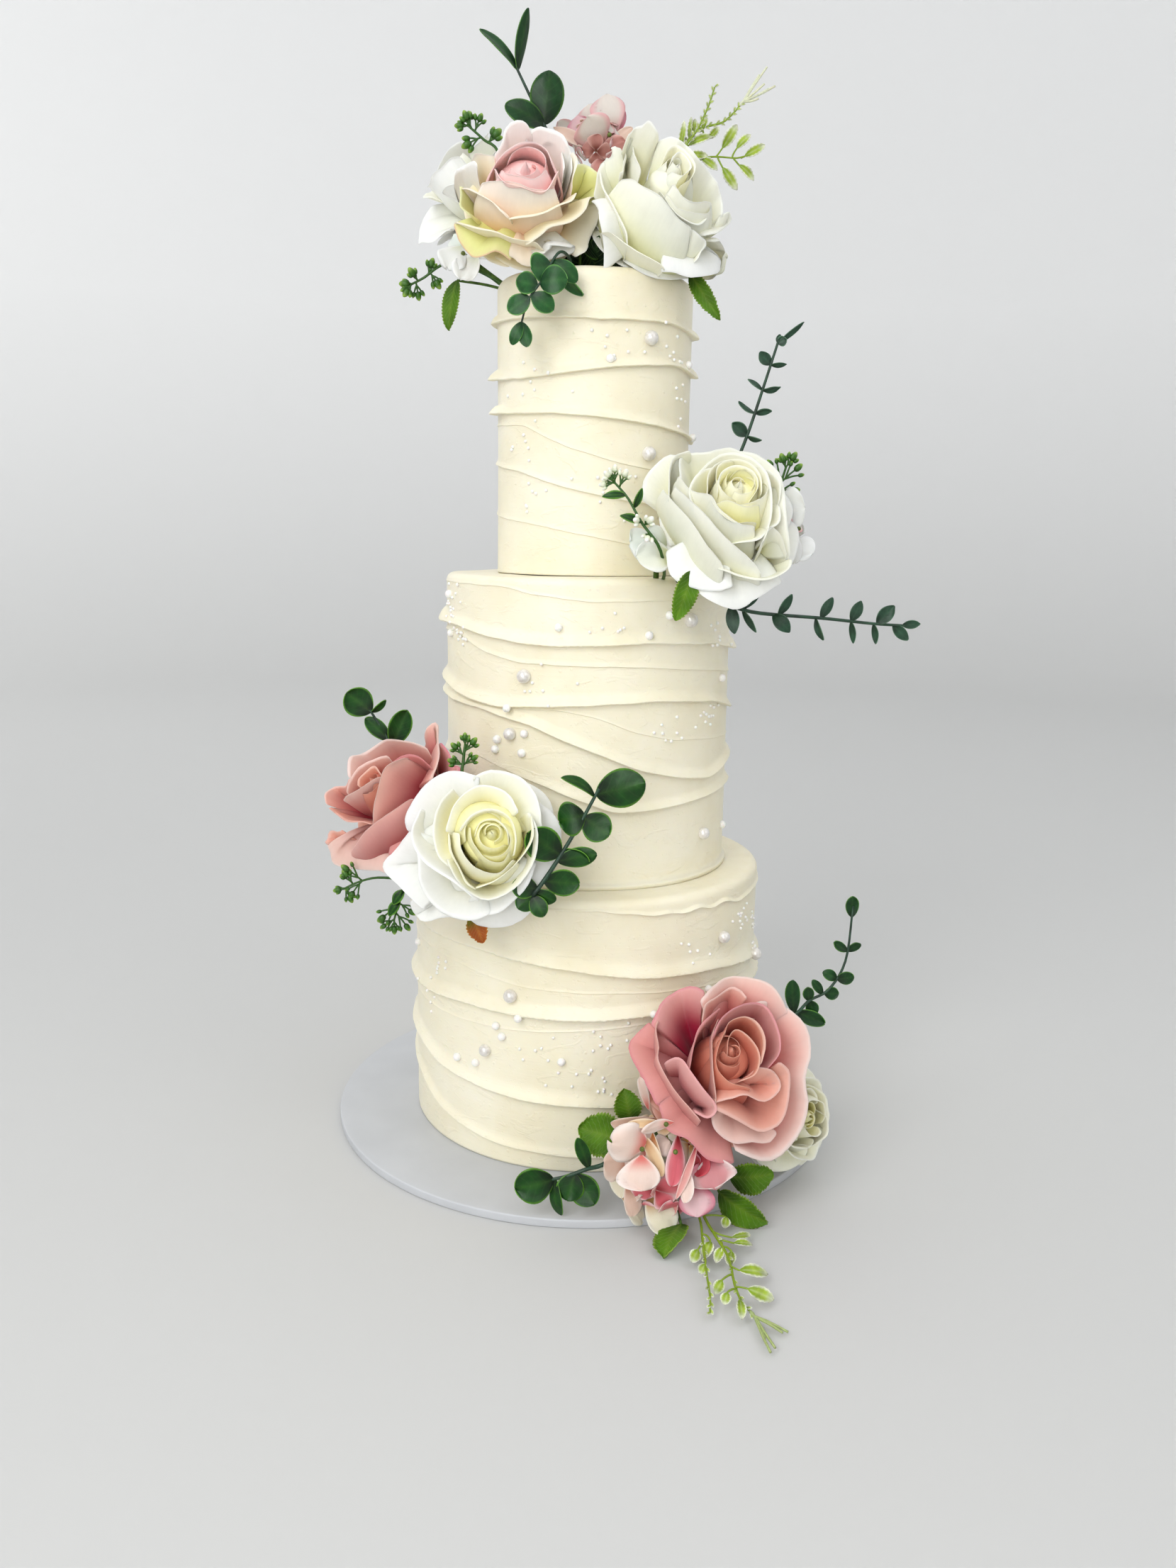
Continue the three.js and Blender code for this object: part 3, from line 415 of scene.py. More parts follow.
# A loose group of nonpareils: tier, degrees, height, how many, and its spread in millimetres each way.
TINY_GROUPS = [
    ("m", -66, 315, 16, (16, 10)), ("m", -57, 300, 12, (9, 6)), ("m", 52, 256, 12, (12, 8)),
    ("m", 36, 250, 8, (14, 8)), ("m", -18, 274, 7, (20, 10)), ("m", 60, 300, 8, (14, 9)),
    ("m", 5, 303, 6, (22, 9)), ("t", 10, 452, 9, (20, 7)), ("t", 52, 452, 8, (12, 10)),
    ("t", -35, 430, 8, (18, 8)), ("t", 60, 424, 7, (10, 9)), ("t", -50, 400, 7, (14, 12)),
    ("t", 5, 376, 8, (26, 10)), ("t", -40, 372, 6, (12, 10)), ("b", 60, 138, 12, (12, 8)),
    ("b", 74, 126, 10, (7, 9)), ("b", 38, 128, 6, (16, 10)), ("b", 8, 84, 8, (16, 7)),
    ("b", -4, 62, 6, (9, 7)), ("b", 6, 56, 6, (8, 5)), ("b", -14, 78, 6, (12, 8)),
    ("b", -52, 112, 7, (14, 12)), ("b", -60, 92, 6, (9, 9)), ("b", 72, 112, 8, (5, 6)),
    ("t", 140, 438, 12, (20, 12)), ("t", -140, 430, 12, (18, 16)), ("m", 120, 284, 14, (18, 14)),
    ("m", -120, 300, 12, (20, 12)), ("m", 165, 250, 12, (22, 16)), ("b", 120, 120, 14, (20, 14)),
    ("b", -125, 100, 14, (24, 14)), ("b", 170, 72, 12, (24, 12)), ("b", -150, 128, 8, (18, 10)),
]
TIER_OF = {"b": "bottom_tier", "m": "middle_tier", "t": "top_tier"}


def on_coat(letter, degrees, height):
    """The coat's outermost radius within a millimetre of that height, in the column nearest to those
    degrees."""
    coat = coats[TIER_OF[letter]]
    column = int(round((degrees + 180) / 360 * TIER_COLUMNS)) % TIER_COLUMNS
    near = np.abs(coat["z"][:, column] - height)
    close = near <= max(1.0, near[8:].min() + 0.01)
    return coat["r"][:, column][close].max()


def pearl_centres(places, radius):
    """Centres a little outside the coat, on the line from the tier's axis."""
    centres = []
    for letter, degrees, height in places:
        out = on_coat(letter, degrees, height) + PEARL_RISE * radius
        turn = np.radians(degrees)
        shift = coats[TIER_OF[letter]]["shift"]
        centres.append([shift + out * np.sin(turn), -out * np.cos(turn), height])
    return np.array(centres)


def balls(centres, radii, rows, columns):
    """Balls from rings of latitude: sine of the polar angle out from the axis and its cosine up. All of
    them are one array of rings and poles."""
    tilt = np.pi * (np.arange(rows) + 1) / (rows + 1)
    turn = 2 * np.pi * np.arange(columns) / columns
    ring = np.stack([np.sin(tilt)[:, None] * np.cos(turn), np.sin(tilt)[:, None] * np.sin(turn),
                     -np.cos(tilt)[:, None] + 0 * turn], -1).reshape(-1, 3)
    ball = np.concatenate([ring, [[0, 0, -1], [0, 0, 1]]])
    points = centres[:, None] + radii[:, None, None] * ball
    return points, repeat_faces(closed_faces(rows, columns), len(ball), len(centres))


def repeat_faces(groups, stride, copies):
    """The same faces for each of several copies whose points follow one another."""
    step = (stride * np.arange(copies))[:, None, None]
    return [(faces[None] + step).reshape(-1, faces.shape[1]) for faces in groups]


def mottled_material(name, size, detail, dark, pale, relief=None, **principled):
    """A material that changes between two colours with a noise whose features are that many millimetres
    across. relief is the strength and the depth in metres of a bump that follows the same noise."""
    material, tree, shader, place = new_material(name, **principled)
    noise = add_node(tree, "TexNoise", {"Vector": place, "Scale": per(size), "Detail": detail})
    tone = add_node(tree, "ValToRGB", {"Fac": noise}, ramp=[(0.3, dark), (0.7, pale)])
    tree.links.new(tone.outputs["Color"], shader.inputs["Base Color"])
    if relief:
        strength, depth = relief
        bump = add_node(tree, "Bump", {"Height": noise, "Strength": strength, "Distance": depth})
        tree.links.new(bump.outputs["Normal"], shader.inputs["Normal"])
    return material


# Pressed sugar with a nacre glaze: a grey-white body under a thin clear shell, so that it shows a crisp
# small highlight and darker sides. Its glaze is slightly uneven over about 2 mm.
nacre = mottled_material(
    "nacre_glazed_sugar", 2, 2, "#D6D1CA", "#F1EEE9", relief=(0.2, 0.0003),
    **{"Roughness": 0.28, "IOR": 1.55, "Metallic": 0.22, "Coat Weight": 0.6, "Coat Roughness": 0.12,
       "Sheen Weight": 0.2})

# Polished white sugar, dragee coated: plain white with a soft sheen and a faint chalky mottle of 1 mm.
sugar = mottled_material(
    "polished_white_sugar", 1, 2, "#EEECE6", "#FBFAF6",
    **{"Roughness": 0.35, "IOR": 1.5, "Subsurface Weight": 0.15, "Subsurface Scale": 0.001})

rng = np.random.default_rng(5)
tiny_places = [
    (letter, degrees + np.degrees(rng.normal(0, spread[0] / 1.6) / coats[TIER_OF[letter]]["r"].max()),
     height + rng.normal(0, spread[1] / 1.6))
    for letter, degrees, height, count, spread in TINY_GROUPS for _ in range(count)
]
for name, places, radius, rows, columns, material in (
    ("large_pearls", LARGE_PEARLS, LARGE_PEARL, 15, 24, nacre),
    ("medium_pearls", MEDIUM_PEARLS, MEDIUM_PEARL, 11, 18, sugar),
    ("nonpareils", tiny_places, TINY_PEARL, 5, 8, sugar),
):
    radii = radius * rng.uniform(0.92, 1.06, len(places))
    points, faces = balls(pearl_centres(places, radius), radii, rows, columns)
    make_piece(name, points, faces, material)

# ---- silk roses ----
# Full-blown artificial roses: petals cut from thin silk cloth, heat-curled at their edges and glued in a
# spiral round a bud, the inner ones wrapped round it and the outer ones opening wide and rolling back.
PETAL_ROWS = 15  # rows from the foot to where the lip starts to roll
LIP_ROWS = 6  # rows of the rolled lip
PETAL_COLUMNS = 31
LIP_SHARE = 0.84  # the middle of a petal's width that follows its lip; past it the flanks round down
FLANK_REACH = 1.3
SILK_THICKNESS = 0.3
FOOT_RADIUS = 2.5
GOLDEN_TURN = np.radians(137.5)
BUD_SHARE = 1.25  # of the heart's radius: the soft bud that the inner petals are wrapped round
BODY_SHARE = 0.86  # of a petal's length that lies below its rolled lip
FOOT_PULL = 0.42  # of the way to the lip: how far a petal holds the direction that it leaves its foot in
FACE_BLEND = 0.48  # of a petal's length over which the throat's dye gives way to the face's
BUD_ROWS = 9
BUD_COLUMNS = 32
# How a petal is formed: its lean at the lip in degrees above the way out, the fullness of its belly, the
# turn of its rolled lip and the roll's radius, and how deep its two ends are tucked in behind their
# neighbours.
PETAL_FORMS = {
    "h": dict(lean=116, belly=0.50, roll=62, lip=1.0, tuck=2.0),  # in the heart
    "c": dict(lean=112, belly=0.62, roll=60, lip=1.3, tuck=3.0),  # closed, wrapped round the ones inside
    "u": dict(lean=88, belly=0.50, roll=76, lip=1.3, tuck=4.0),  # upright
    "b": dict(lean=62, belly=0.46, roll=95, lip=0.95, tuck=5.0),  # bowl
    "o": dict(lean=34, belly=0.42, roll=85, lip=1.25, tuck=5.0),  # open
    "f": dict(lean=4, belly=0.42, roll=50, lip=1.7, tuck=4.0),  # flat, at the rim
    "d": dict(lean=-30, belly=0.42, roll=30, lip=1.7, tuck=4.0),  # drooping
}
# Dyes of a petal: deep in the throat, its face, its edge and its outer side. The throat dye is partly
# the silk's own deeper colour at its base and partly painted light: shade in the crevices between the
# petals, and in the white roses the warm glow of light let through them.
PINK_DYES = {
    "heart": ("#A23420", "#E0927A", "#F2BCA8", "#D98468"),
    "peach": ("#A02034", "#EDB2A2", "#F5C9BD", "#E49F8D"),
    "pale": ("#C45A58", "#F3CCC0", "#F9DFD6", "#EDC2B6"),
    "rose": ("#980C34", "#F0BAB2", "#D4607A", "#E09A94"),
    "dusk": ("#740824", "#DA928C", "#C2526C", "#C6746E"),
    "umber": ("#921022", "#ECB0A6", "#F6C2B8", "#D08678"),
}
WHITE_DYES = {
    "heart": ("#FFEC62", "#FFFABC", "#FFFEF0", "#FFF8AC"),
    "lemon": ("#FFEC70", "#FFFCDC", "#FFFFF8", "#FFFACC"),
    # green: white silk with a greener tint and darker faces than white: partly its own tint, partly painted
    # shade of the roses it dyes
    "green": ("#E6E49A", "#F3F2DE", "#FCFCF4", "#F0EFD6"),
    "white": ("#F4EEA6", "#FBFAE8", "#FFFFFC", "#F9F7DC"),
    "cool": ("#E6E6D0", "#FCFCF8", "#FFFFFF", "#FBFBF4"),
}
BLUSH_DYES = {
    "heart": ("#FFACAA", "#FFD2CE", "#FFEAE6", "#FFC8C4"),
    "blush": ("#FCC094", "#FFEEDA", "#FFF9EC", "#FFE6CC"),
    "cream": ("#F2CC84", "#FFF4D6", "#FFFAEC", "#FEEEC4"),
    "white": ("#F4EBC4", "#FFFDF6", "#FFFFFC", "#FDFAF0"),
    "lime": ("#BCB040", "#E6E698", "#F0F0B4", "#E4E6A0"),
    "crimson": ("#CCC450", "#E8E898", "#DC7880", "#E2E296"),
}


def facing(azimuth, elevation, at):
    """Rows of the turn that takes X to the viewer's right, Y up the bloom and Z the way it faces, and the
    place."""
    a, e = np.radians([azimuth, elevation])
    right = np.array([np.cos(a), np.sin(a), 0])
    out = np.array([np.sin(a) * np.cos(e), -np.cos(a) * np.cos(e), np.sin(e)])
    return np.array([right, np.cross(out, right), out]), np.array(at, float)


def spline(points, at):
    """A smooth curve through the given points (Catmull-Rom), at places from 0 to 1 with even steps per
    span."""
    points = np.asarray(points, float)
    ends = np.concatenate([[2 * points[0] - points[1]], points, [2 * points[-1] - points[-2]]])
    at = np.clip(np.asarray(at) * (len(points) - 1), 0, len(points) - 1 - 1e-9)
    span = at.astype(int)
    t = (at - span)[:, None]
    a, b, c, d = (ends[span + i] for i in range(4))
    return 0.5 * (2 * b + (c - a) * t + (2 * a - 5 * b + 4 * c - d) * t ** 2
                  + (3 * b - a - 3 * c + d) * t ** 3)


def ripple(across, seeds, lowest, highest):
    """Smooth noise across each petal: a sum of sines with seeded sizes and phases, for each petal its
    own."""
    shape = (across.shape[0], 1, 1)
    total = 0
    for count in range(lowest, highest + 1):
        size = seeds.uniform(0.3, 1, shape) / count ** 0.5
        total = total + size * np.sin(count * np.pi * across / 2 + seeds.uniform(0, 6.3, shape))
    return total


def unit(vectors):
    """The same vectors at length 1."""
    return vectors / np.maximum(np.linalg.norm(vectors, axis=-1, keepdims=True), 1e-9)


def smooth(value, low, high):
    """0 below low, 1 above high, and 3s² - 2s³ of the share between them."""
    share = np.clip((value - low) / (high - low), 0, 1)
    return share * share * (3 - 2 * share)


def shell(surface, thickness, rim=0):
    """Closes each sheet of points (sheet, row, column) into a thin shell: half the thickness to either side
    along its normal, down to a third of it where rim is 1, and a strip round its edge. Returns points and
    faces."""
    normal = unit(np.cross(np.gradient(surface, axis=1), np.gradient(surface, axis=2)))
    offset = normal * (thickness / 2 * (1 - 0.66 * rim + np.zeros(surface.shape[:3])))[..., None]
    points = np.stack([surface + offset, surface - offset], 1)
    sheets, rows, columns = surface.shape[:3]
    row, column = np.meshgrid(np.arange(rows - 1), np.arange(columns - 1), indexing="ij")
    a = (row * columns + column).ravel()
    front = np.stack([a, a + columns, a + columns + 1, a + 1], -1)
    side = rows * columns
    back = front[:, ::-1] + side
    border = np.concatenate([np.arange(columns), np.arange(1, rows) * columns + columns - 1,
                             (rows - 1) * columns + np.arange(columns - 2, -1, -1),
                             np.arange(rows - 2, 0, -1) * columns])
    after = np.roll(border, -1)
    edge = np.stack([border, after, after + side, border + side], -1)
    faces = np.concatenate([front, back, edge])
    return points, repeat_faces([faces], 2 * side, sheets)


def heart_lips(radius, count, height, dye, turn):
    """Lips of the petals wrapped round the bud, each an arc. Outward they turn by the golden angle, widen,
    and end lower than the one inside as a round bud does, so that each shows a strip of its outer side."""
    lips = []
    rng = np.random.default_rng(round(turn * 10))
    for i in range(count):
        out = i / (count - 1)
        reach = radius * (0.03 + 0.97 * out ** 0.9)
        side = np.linspace(-1, 1, 9)
        angle = turn + i * GOLDEN_TURN + side * np.radians(150 - 72 * out)
        r = reach * (1 + 0.26 * side * (-1) ** i - 0.16 * side ** 2 * out) + 0.1
        z = height + radius * (0.34 * (1 - out) ** 1.1 - 0.2 * side ** 2 * (0.2 + out))
        middle = 0.09 * radius * out * rng.standard_normal(2)
        lips.append(("h", dye, *np.stack([r * np.cos(angle) + middle[0], r * np.sin(angle) + middle[1],
                                          z + 0.05 * radius * rng.standard_normal()], -1).tolist()))
    return lips


def spiral_lips(radius, depth, count, turn, dyes, share=1.0):
    """Lips of a bloom outside its bud, to a share of its radius: each turned by the golden angle from the
    last, farther out and lower, an arc whose ends drop and draw in behind its neighbours. They open
    outward."""
    lips = []
    rng = np.random.default_rng(round(turn * 10))
    for i in range(count):
        out = (i + 1) / count
        reach = share * radius * (0.20 + 0.72 * out ** 0.9) * rng.uniform(0.97, 1.04)
        side = np.linspace(-1, 1, 7)
        angle = turn + i * GOLDEN_TURN + side * np.radians(66 - 22 * out) + rng.uniform(-0.12, 0.12)
        uneven = 0.02 * rng.standard_normal(7)
        r = reach * (1 - 0.12 * np.abs(side) ** 2.4 + 0.13 * side * (-1) ** i + uneven)
        z = depth * np.interp(r / radius, (0, 0.34, 0.56, 0.8, 1), (0.54, 0.5, 0.40, 0.24, 0.02))
        z = z - 0.07 * depth * side ** 2 + 0.012 * depth * rng.standard_normal(7)
        form = "cubof"[int(np.digitize(out * share, (0.28, 0.5, 0.72, 0.9)))]
        dye = dyes[min(int(out * len(dyes)), len(dyes) - 1)]
        lips.append((form, dye, *np.stack([r * np.cos(angle), r * np.sin(angle), z], -1).tolist()))
    return lips


def rim_lips(radius, depth, count, turn, dye):
    """Lips of the petals that close the bloom's underside, evenly round its rim and below the ones
    listed."""
    lips = []
    for i in range(count):
        side = np.linspace(-1, 1, 7)
        angle = turn + 2 * np.pi * i / count + side * np.pi / count * 1.25
        r = 0.84 * radius * (1 - 0.12 * np.abs(side) ** 2.5)
        z = -0.12 * depth - 0.05 * depth * (i % 2) + 0 * side
        lips.append(("f", dye, *np.stack([r * np.cos(angle), r * np.sin(angle), z], -1).tolist()))
    return lips


def petal_sheets(petals, radius, depth, seed):
    """Petals as sheets (petal, row, column), the bloom facing +Z. The lip is a smooth curve through the
    given points, roughened finely. From the foot in the calyx a cubic curve rises to each point of it,
    arriving at the form's lean across the lip, and goes on in an arc that rolls outward. Past the lip's
    ends the sheet goes on a little way round the bloom while its edge drops along that curve as a quarter
    circle does."""
    rng = np.random.default_rng(seed)
    spread = np.linspace(-1, 1, PETAL_COLUMNS)
    spread = 0.6 * spread + 0.4 * np.sin(spread * np.pi / 2)
    across = spread[None, None, :] + np.zeros((len(petals), 1, 1))
    past = np.clip((np.abs(across) - LIP_SHARE) / (1 - LIP_SHARE), 0, 1)
    within = (np.clip(spread / LIP_SHARE, -1, 1) + 1) / 2
    lip = np.stack([spline(points, within) for _, _, *points in petals])
    inside = np.clip(1 - (np.hypot(lip[..., 0], lip[..., 1]) / (0.55 * radius)) ** 2, 0, 1)
    lip[..., 2] += 0.08 * depth * inside * np.array([form != "h" for form, *_ in petals])[:, None]
    lean, belly, roll, curl, tuck = (
        np.array([PETAL_FORMS[form][key] for form, *_ in petals], float)[:, None, None]
        for key in ("lean", "belly", "roll", "lip", "tuck"))
    age = np.clip(np.hypot(lip[..., 0], lip[..., 1]).mean(1) / radius, 0, 1)[:, None, None]

    ends = np.stack([spline(points, [0, 0.05, 0.95, 1]) for _, _, *points in petals])
    ways = unit(np.stack([ends[:, 0] - ends[:, 1], ends[:, 3] - ends[:, 2]], 1))
    outward = unit(np.concatenate([ends[:, [0, 3], :2], 0 * ends[:, [0, 3], :1]], -1))
    ways = ways - outward * (np.maximum((ways * outward).sum(-1, keepdims=True), 0) + 0.25)
    way = np.where(across[:, 0, :, None] < 0, ways[:, :1], ways[:, 1:])
    lip = lip + FLANK_REACH * past[:, 0, :, None] * way
    lip[..., 2] -= (tuck * past ** 1.5 + 0.5 * tuck * smooth(np.abs(across), 0.55, 1.0))[:, 0]

    tangent = np.gradient(lip[..., :2], axis=1)
    normal = unit(np.stack([tangent[..., 1], -tangent[..., 0]], -1))
    normal *= np.sign((normal * lip[..., :2]).sum(-1).mean(-1))[:, None, None]
    radial = unit(lip[..., :2])
    normal = unit(0.6 * normal + 0.4 * radial)

    lean = np.radians(lean + 5 * rng.standard_normal(lean.shape) + 5 * ripple(across, rng, 1, 2) * age)
    upward = np.sin(lean)[:, 0, :, None]
    heading = np.concatenate([normal * np.cos(lean[:, 0, :, None]), upward], -1)
    fray = 0.14 * ripple(across, rng, 12, 26) + (0.1 + 0.3 * age) * ripple(across, rng, 2, 5)
    lip = lip + heading * fray[:, 0, :, None]
    foot = np.concatenate([radial * FOOT_RADIUS, np.full_like(radial[..., :1], -0.45 * depth)], -1)
    chord = lip - foot
    length = np.linalg.norm(chord, axis=-1, keepdims=True)
    rise = np.arctan2(chord[..., 2:], np.linalg.norm(chord[..., :2], axis=-1, keepdims=True))
    base = np.clip(2 * rise - lean[:, 0, :, None], 0, 1.45)
    ends = [foot, foot + FOOT_PULL * length * np.concatenate([radial * np.cos(base), np.sin(base)], -1),
            lip - belly * length * heading, lip]
    reach = 1 - 0.7 * (1 - np.sqrt(1 - past ** 2))
    t = (np.linspace(0, 1, PETAL_ROWS)[None, :, None] * reach)[..., None]
    weight = [(1 - t) ** 3, 3 * t * (1 - t) ** 2, 3 * t ** 2 * (1 - t), t ** 3]
    body = sum(w * end[:, None] for w, end in zip(weight, ends))

    last = t[:, -1]
    weight = [(1 - last) ** 2, 2 * last * (1 - last), last ** 2]
    slope = sum(w * (after - before) for w, before, after in zip(weight, ends, ends[1:]))
    lean = np.arctan2(slope[..., 2], (slope[..., :2] * normal).sum(-1))[:, None]
    turn = np.linspace(0, 1, LIP_ROWS + 1)[None, 1:, None]
    bend = turn * np.radians(roll) * (0.8 + 0.25 * ripple(across, rng, 1, 3)) * (1 - 0.7 * past)
    curl = curl * (0.8 + 0.5 * age) * (1 - 0.92 * past)
    over = curl * (np.sin(lean) - np.sin(lean - bend))
    up = curl * (np.cos(lean - bend) - np.cos(lean))
    rolled = body[:, -1:] + np.concatenate([normal[:, None] * over[..., None], up[..., None]], -1)
    sheets = np.concatenate([body, rolled], 1)
    along = np.concatenate([t[..., 0] * BODY_SHARE, BODY_SHARE * reach + (1 - BODY_SHARE) * turn], 1)
    wave = (0.2 + 1.5 * age) * along ** 2 * ripple(across + 0 * along, rng, 1, 5)
    way = np.concatenate([normal, 0.5 + 0 * normal[..., :1]], -1)[:, None]
    sheets = sheets + wave[..., None] * way * 0.6
    flank = smooth(np.abs(across), LIP_SHARE, 1.0) * smooth(along, 0.3, 0.7)
    rim = np.maximum(smooth(along, 0.80, 0.98), 0.5 * flank)
    flat = np.stack(np.broadcast_arrays(across * 0.5 + 0.5, along * length[:, None, :, 0] / 40), -1)
    return sheets, along, rim * rng.uniform(0.35, 1, age.shape), flat


def four_dyes(dyes):
    """The linear colours of the four dyes of each petal or leaf: one array for each of the four."""
    return [np.array([linear(dye[i])[:3] for dye in dyes])[:, None, None] for i in range(4)]


def dyed(petals, palette, along, rim, seed, throat_reach):
    """Colour of each petal's two sides: its throat dye gives way to the face dye over the middle of its
    length, and that to the edge dye along the rim. The throat dye low down is partly painted crevice shade.
    The outer side keeps more of its own dye and takes on the throat dye toward the foot: painted shade of
    the crevices between the petals. No two petals are equally dark."""
    rng = np.random.default_rng(seed)
    throat, face, edge, back = four_dyes([palette[dye] for _, dye, *_ in petals])
    tone = rng.uniform(0.96, 1.0, (len(petals), 1, 1, 1))
    # the throat dye low on the inner side is partly painted shade of the crevices
    body = smooth(along, throat_reach, throat_reach + FACE_BLEND)[..., None]
    rim = rim[..., None]
    inner = (throat + (face - throat) * body) * (1 - rim) + edge * rim
    # painted shade: toward the foot the outer side takes on the throat dye, where petals crowd into crevices
    deep = 0.75 * (1 - smooth(along, 0.25, BODY_SHARE))[..., None]
    outer = (back + (throat - back) * deep) * (1 - 0.6 * rim) + 0.6 * edge * rim
    colour = np.stack([outer, inner], 1) * tone[:, None]
    return np.concatenate([colour, np.ones_like(colour[..., :1])], -1)


def make_rose(node, kind, diameter, depth, azimuth, elevation, at, petals, heart, rim, seed):
    """Builds a rose's petals as one piece in place of its CAD bloom, and its bud, a low dome, as another.
    heart is the radius, count, height and dye of the wrapped petals round the bud, and rim the dye of the
    petals that close its underside."""
    material, palette, slot, throat = SILKS[kind]
    radius = diameter / 2
    petals = heart_lips(*heart, turn=seed) + list(petals) + rim_lips(radius, depth, 6, seed, rim)
    sheets, along, edge, flat = petal_sheets(petals, radius, depth, seed)
    axes, centre = facing(azimuth, elevation, at)
    points, faces = shell(sheets @ axes + centre, SILK_THICKNESS, smooth(edge, 0, 0.5))
    colour = dyed(petals, palette, along, edge, seed, throat)
    flat = np.repeat(flat[:, None], 2, 1)
    make_piece(node + "_petals", points, faces, material, [node], colour, flat)
    bud_radius, _, high, dye = heart
    share = np.linspace(1, 0, BUD_ROWS)[:, None]
    turn = np.linspace(0, 2 * np.pi, BUD_COLUMNS, endpoint=False)
    r = BUD_SHARE * bud_radius * share
    rise = high - 2 - 7 * share ** 2 + 0 * turn
    dome = np.stack([r * np.cos(turn), r * np.sin(turn), rise], -1).reshape(-1, 3)
    low = np.tile([0, 0, 0.2 * high], (BUD_COLUMNS, 1)) + dome[:BUD_COLUMNS] * (0.6, 0.6, 0)
    ends = np.array([[0, 0, 0.2 * high], [0, 0, high - 2]])
    bud = np.concatenate([low, dome, ends]) @ axes + centre
    colour = np.broadcast_to(np.array(linear(palette[dye][1])), (len(bud), 4))
    make_piece(node + "_bud", bud, closed_faces(BUD_ROWS + 1, BUD_COLUMNS), material, [node], colour)


def shaded(tree, colour, noise, low, high):
    """The colour darkened by a noise: low and high are pairs of the noise and the share of the colour
    there."""
    share = add_node(tree, "ValToRGB", {"Fac": noise}, ramp=[low, high])
    sockets = {0: 1.0, 6: colour, 7: share.outputs["Color"]}
    return add_node(tree, "Mix", sockets, data_type="RGBA", blend_type="MULTIPLY").outputs[2]


def silk_material(name):
    """Thin polyester silk, dyed and heat-set: matte with a faint sheen, letting a little light through. The
    dye is a point attribute; fine creases of about 1 mm run along each petal, their dips painted a little
    darker as shade, and the dye mottles over about 9 mm."""
    material, tree, shader, place = new_material(
        name, **{"Roughness": 0.6, "IOR": 1.45, "Subsurface Weight": 0.4, "Subsurface Scale": 0.0015,
                 "Subsurface Radius": (1.0, 0.85, 0.75), "Sheen Weight": 0.1, "Sheen Roughness": 0.5})
    dye = add_node(tree, "Attribute", attribute_name="dye")
    grid = add_node(tree, "UVMap")
    threads = add_node(tree, "Mapping", {"Vector": grid.outputs["UV"], "Scale": (44, 6, 1)})
    crease = add_node(tree, "TexNoise", {"Vector": threads, "Scale": 1.0, "Detail": 4})
    cloud = add_node(tree, "TexNoise", {"Vector": place, "Scale": per(9), "Detail": 3})
    # painted shade: the dye is a little darker where the crease bump sinks
    creased = shaded(tree, dye, crease, (0.25, 0.975), (0.6, 1.0))
    mottled = shaded(tree, creased, cloud, (0.3, 0.96), (0.58, 1.0))
    bump = add_node(tree, "Bump", {"Height": crease, "Strength": 0.12, "Distance": 0.0005})
    tree.links.new(mottled, shader.inputs["Base Color"])
    tree.links.new(bump.outputs["Normal"], shader.inputs["Normal"])
    return material


# Each kind of rose: its silk, its dyes, its slot, and the share of its petals' length at which the throat's
# dye starts to give way to the face's.
SILKS = {
    "pink": (silk_material("dusty_pink_silk"), PINK_DYES, "pink_petal", 0.52),
    "blush": (silk_material("blush_silk"), BLUSH_DYES, "blush_petal", 0.36),
    "white": (silk_material("white_silk"), WHITE_DYES, "white_petal", 0.36),
}


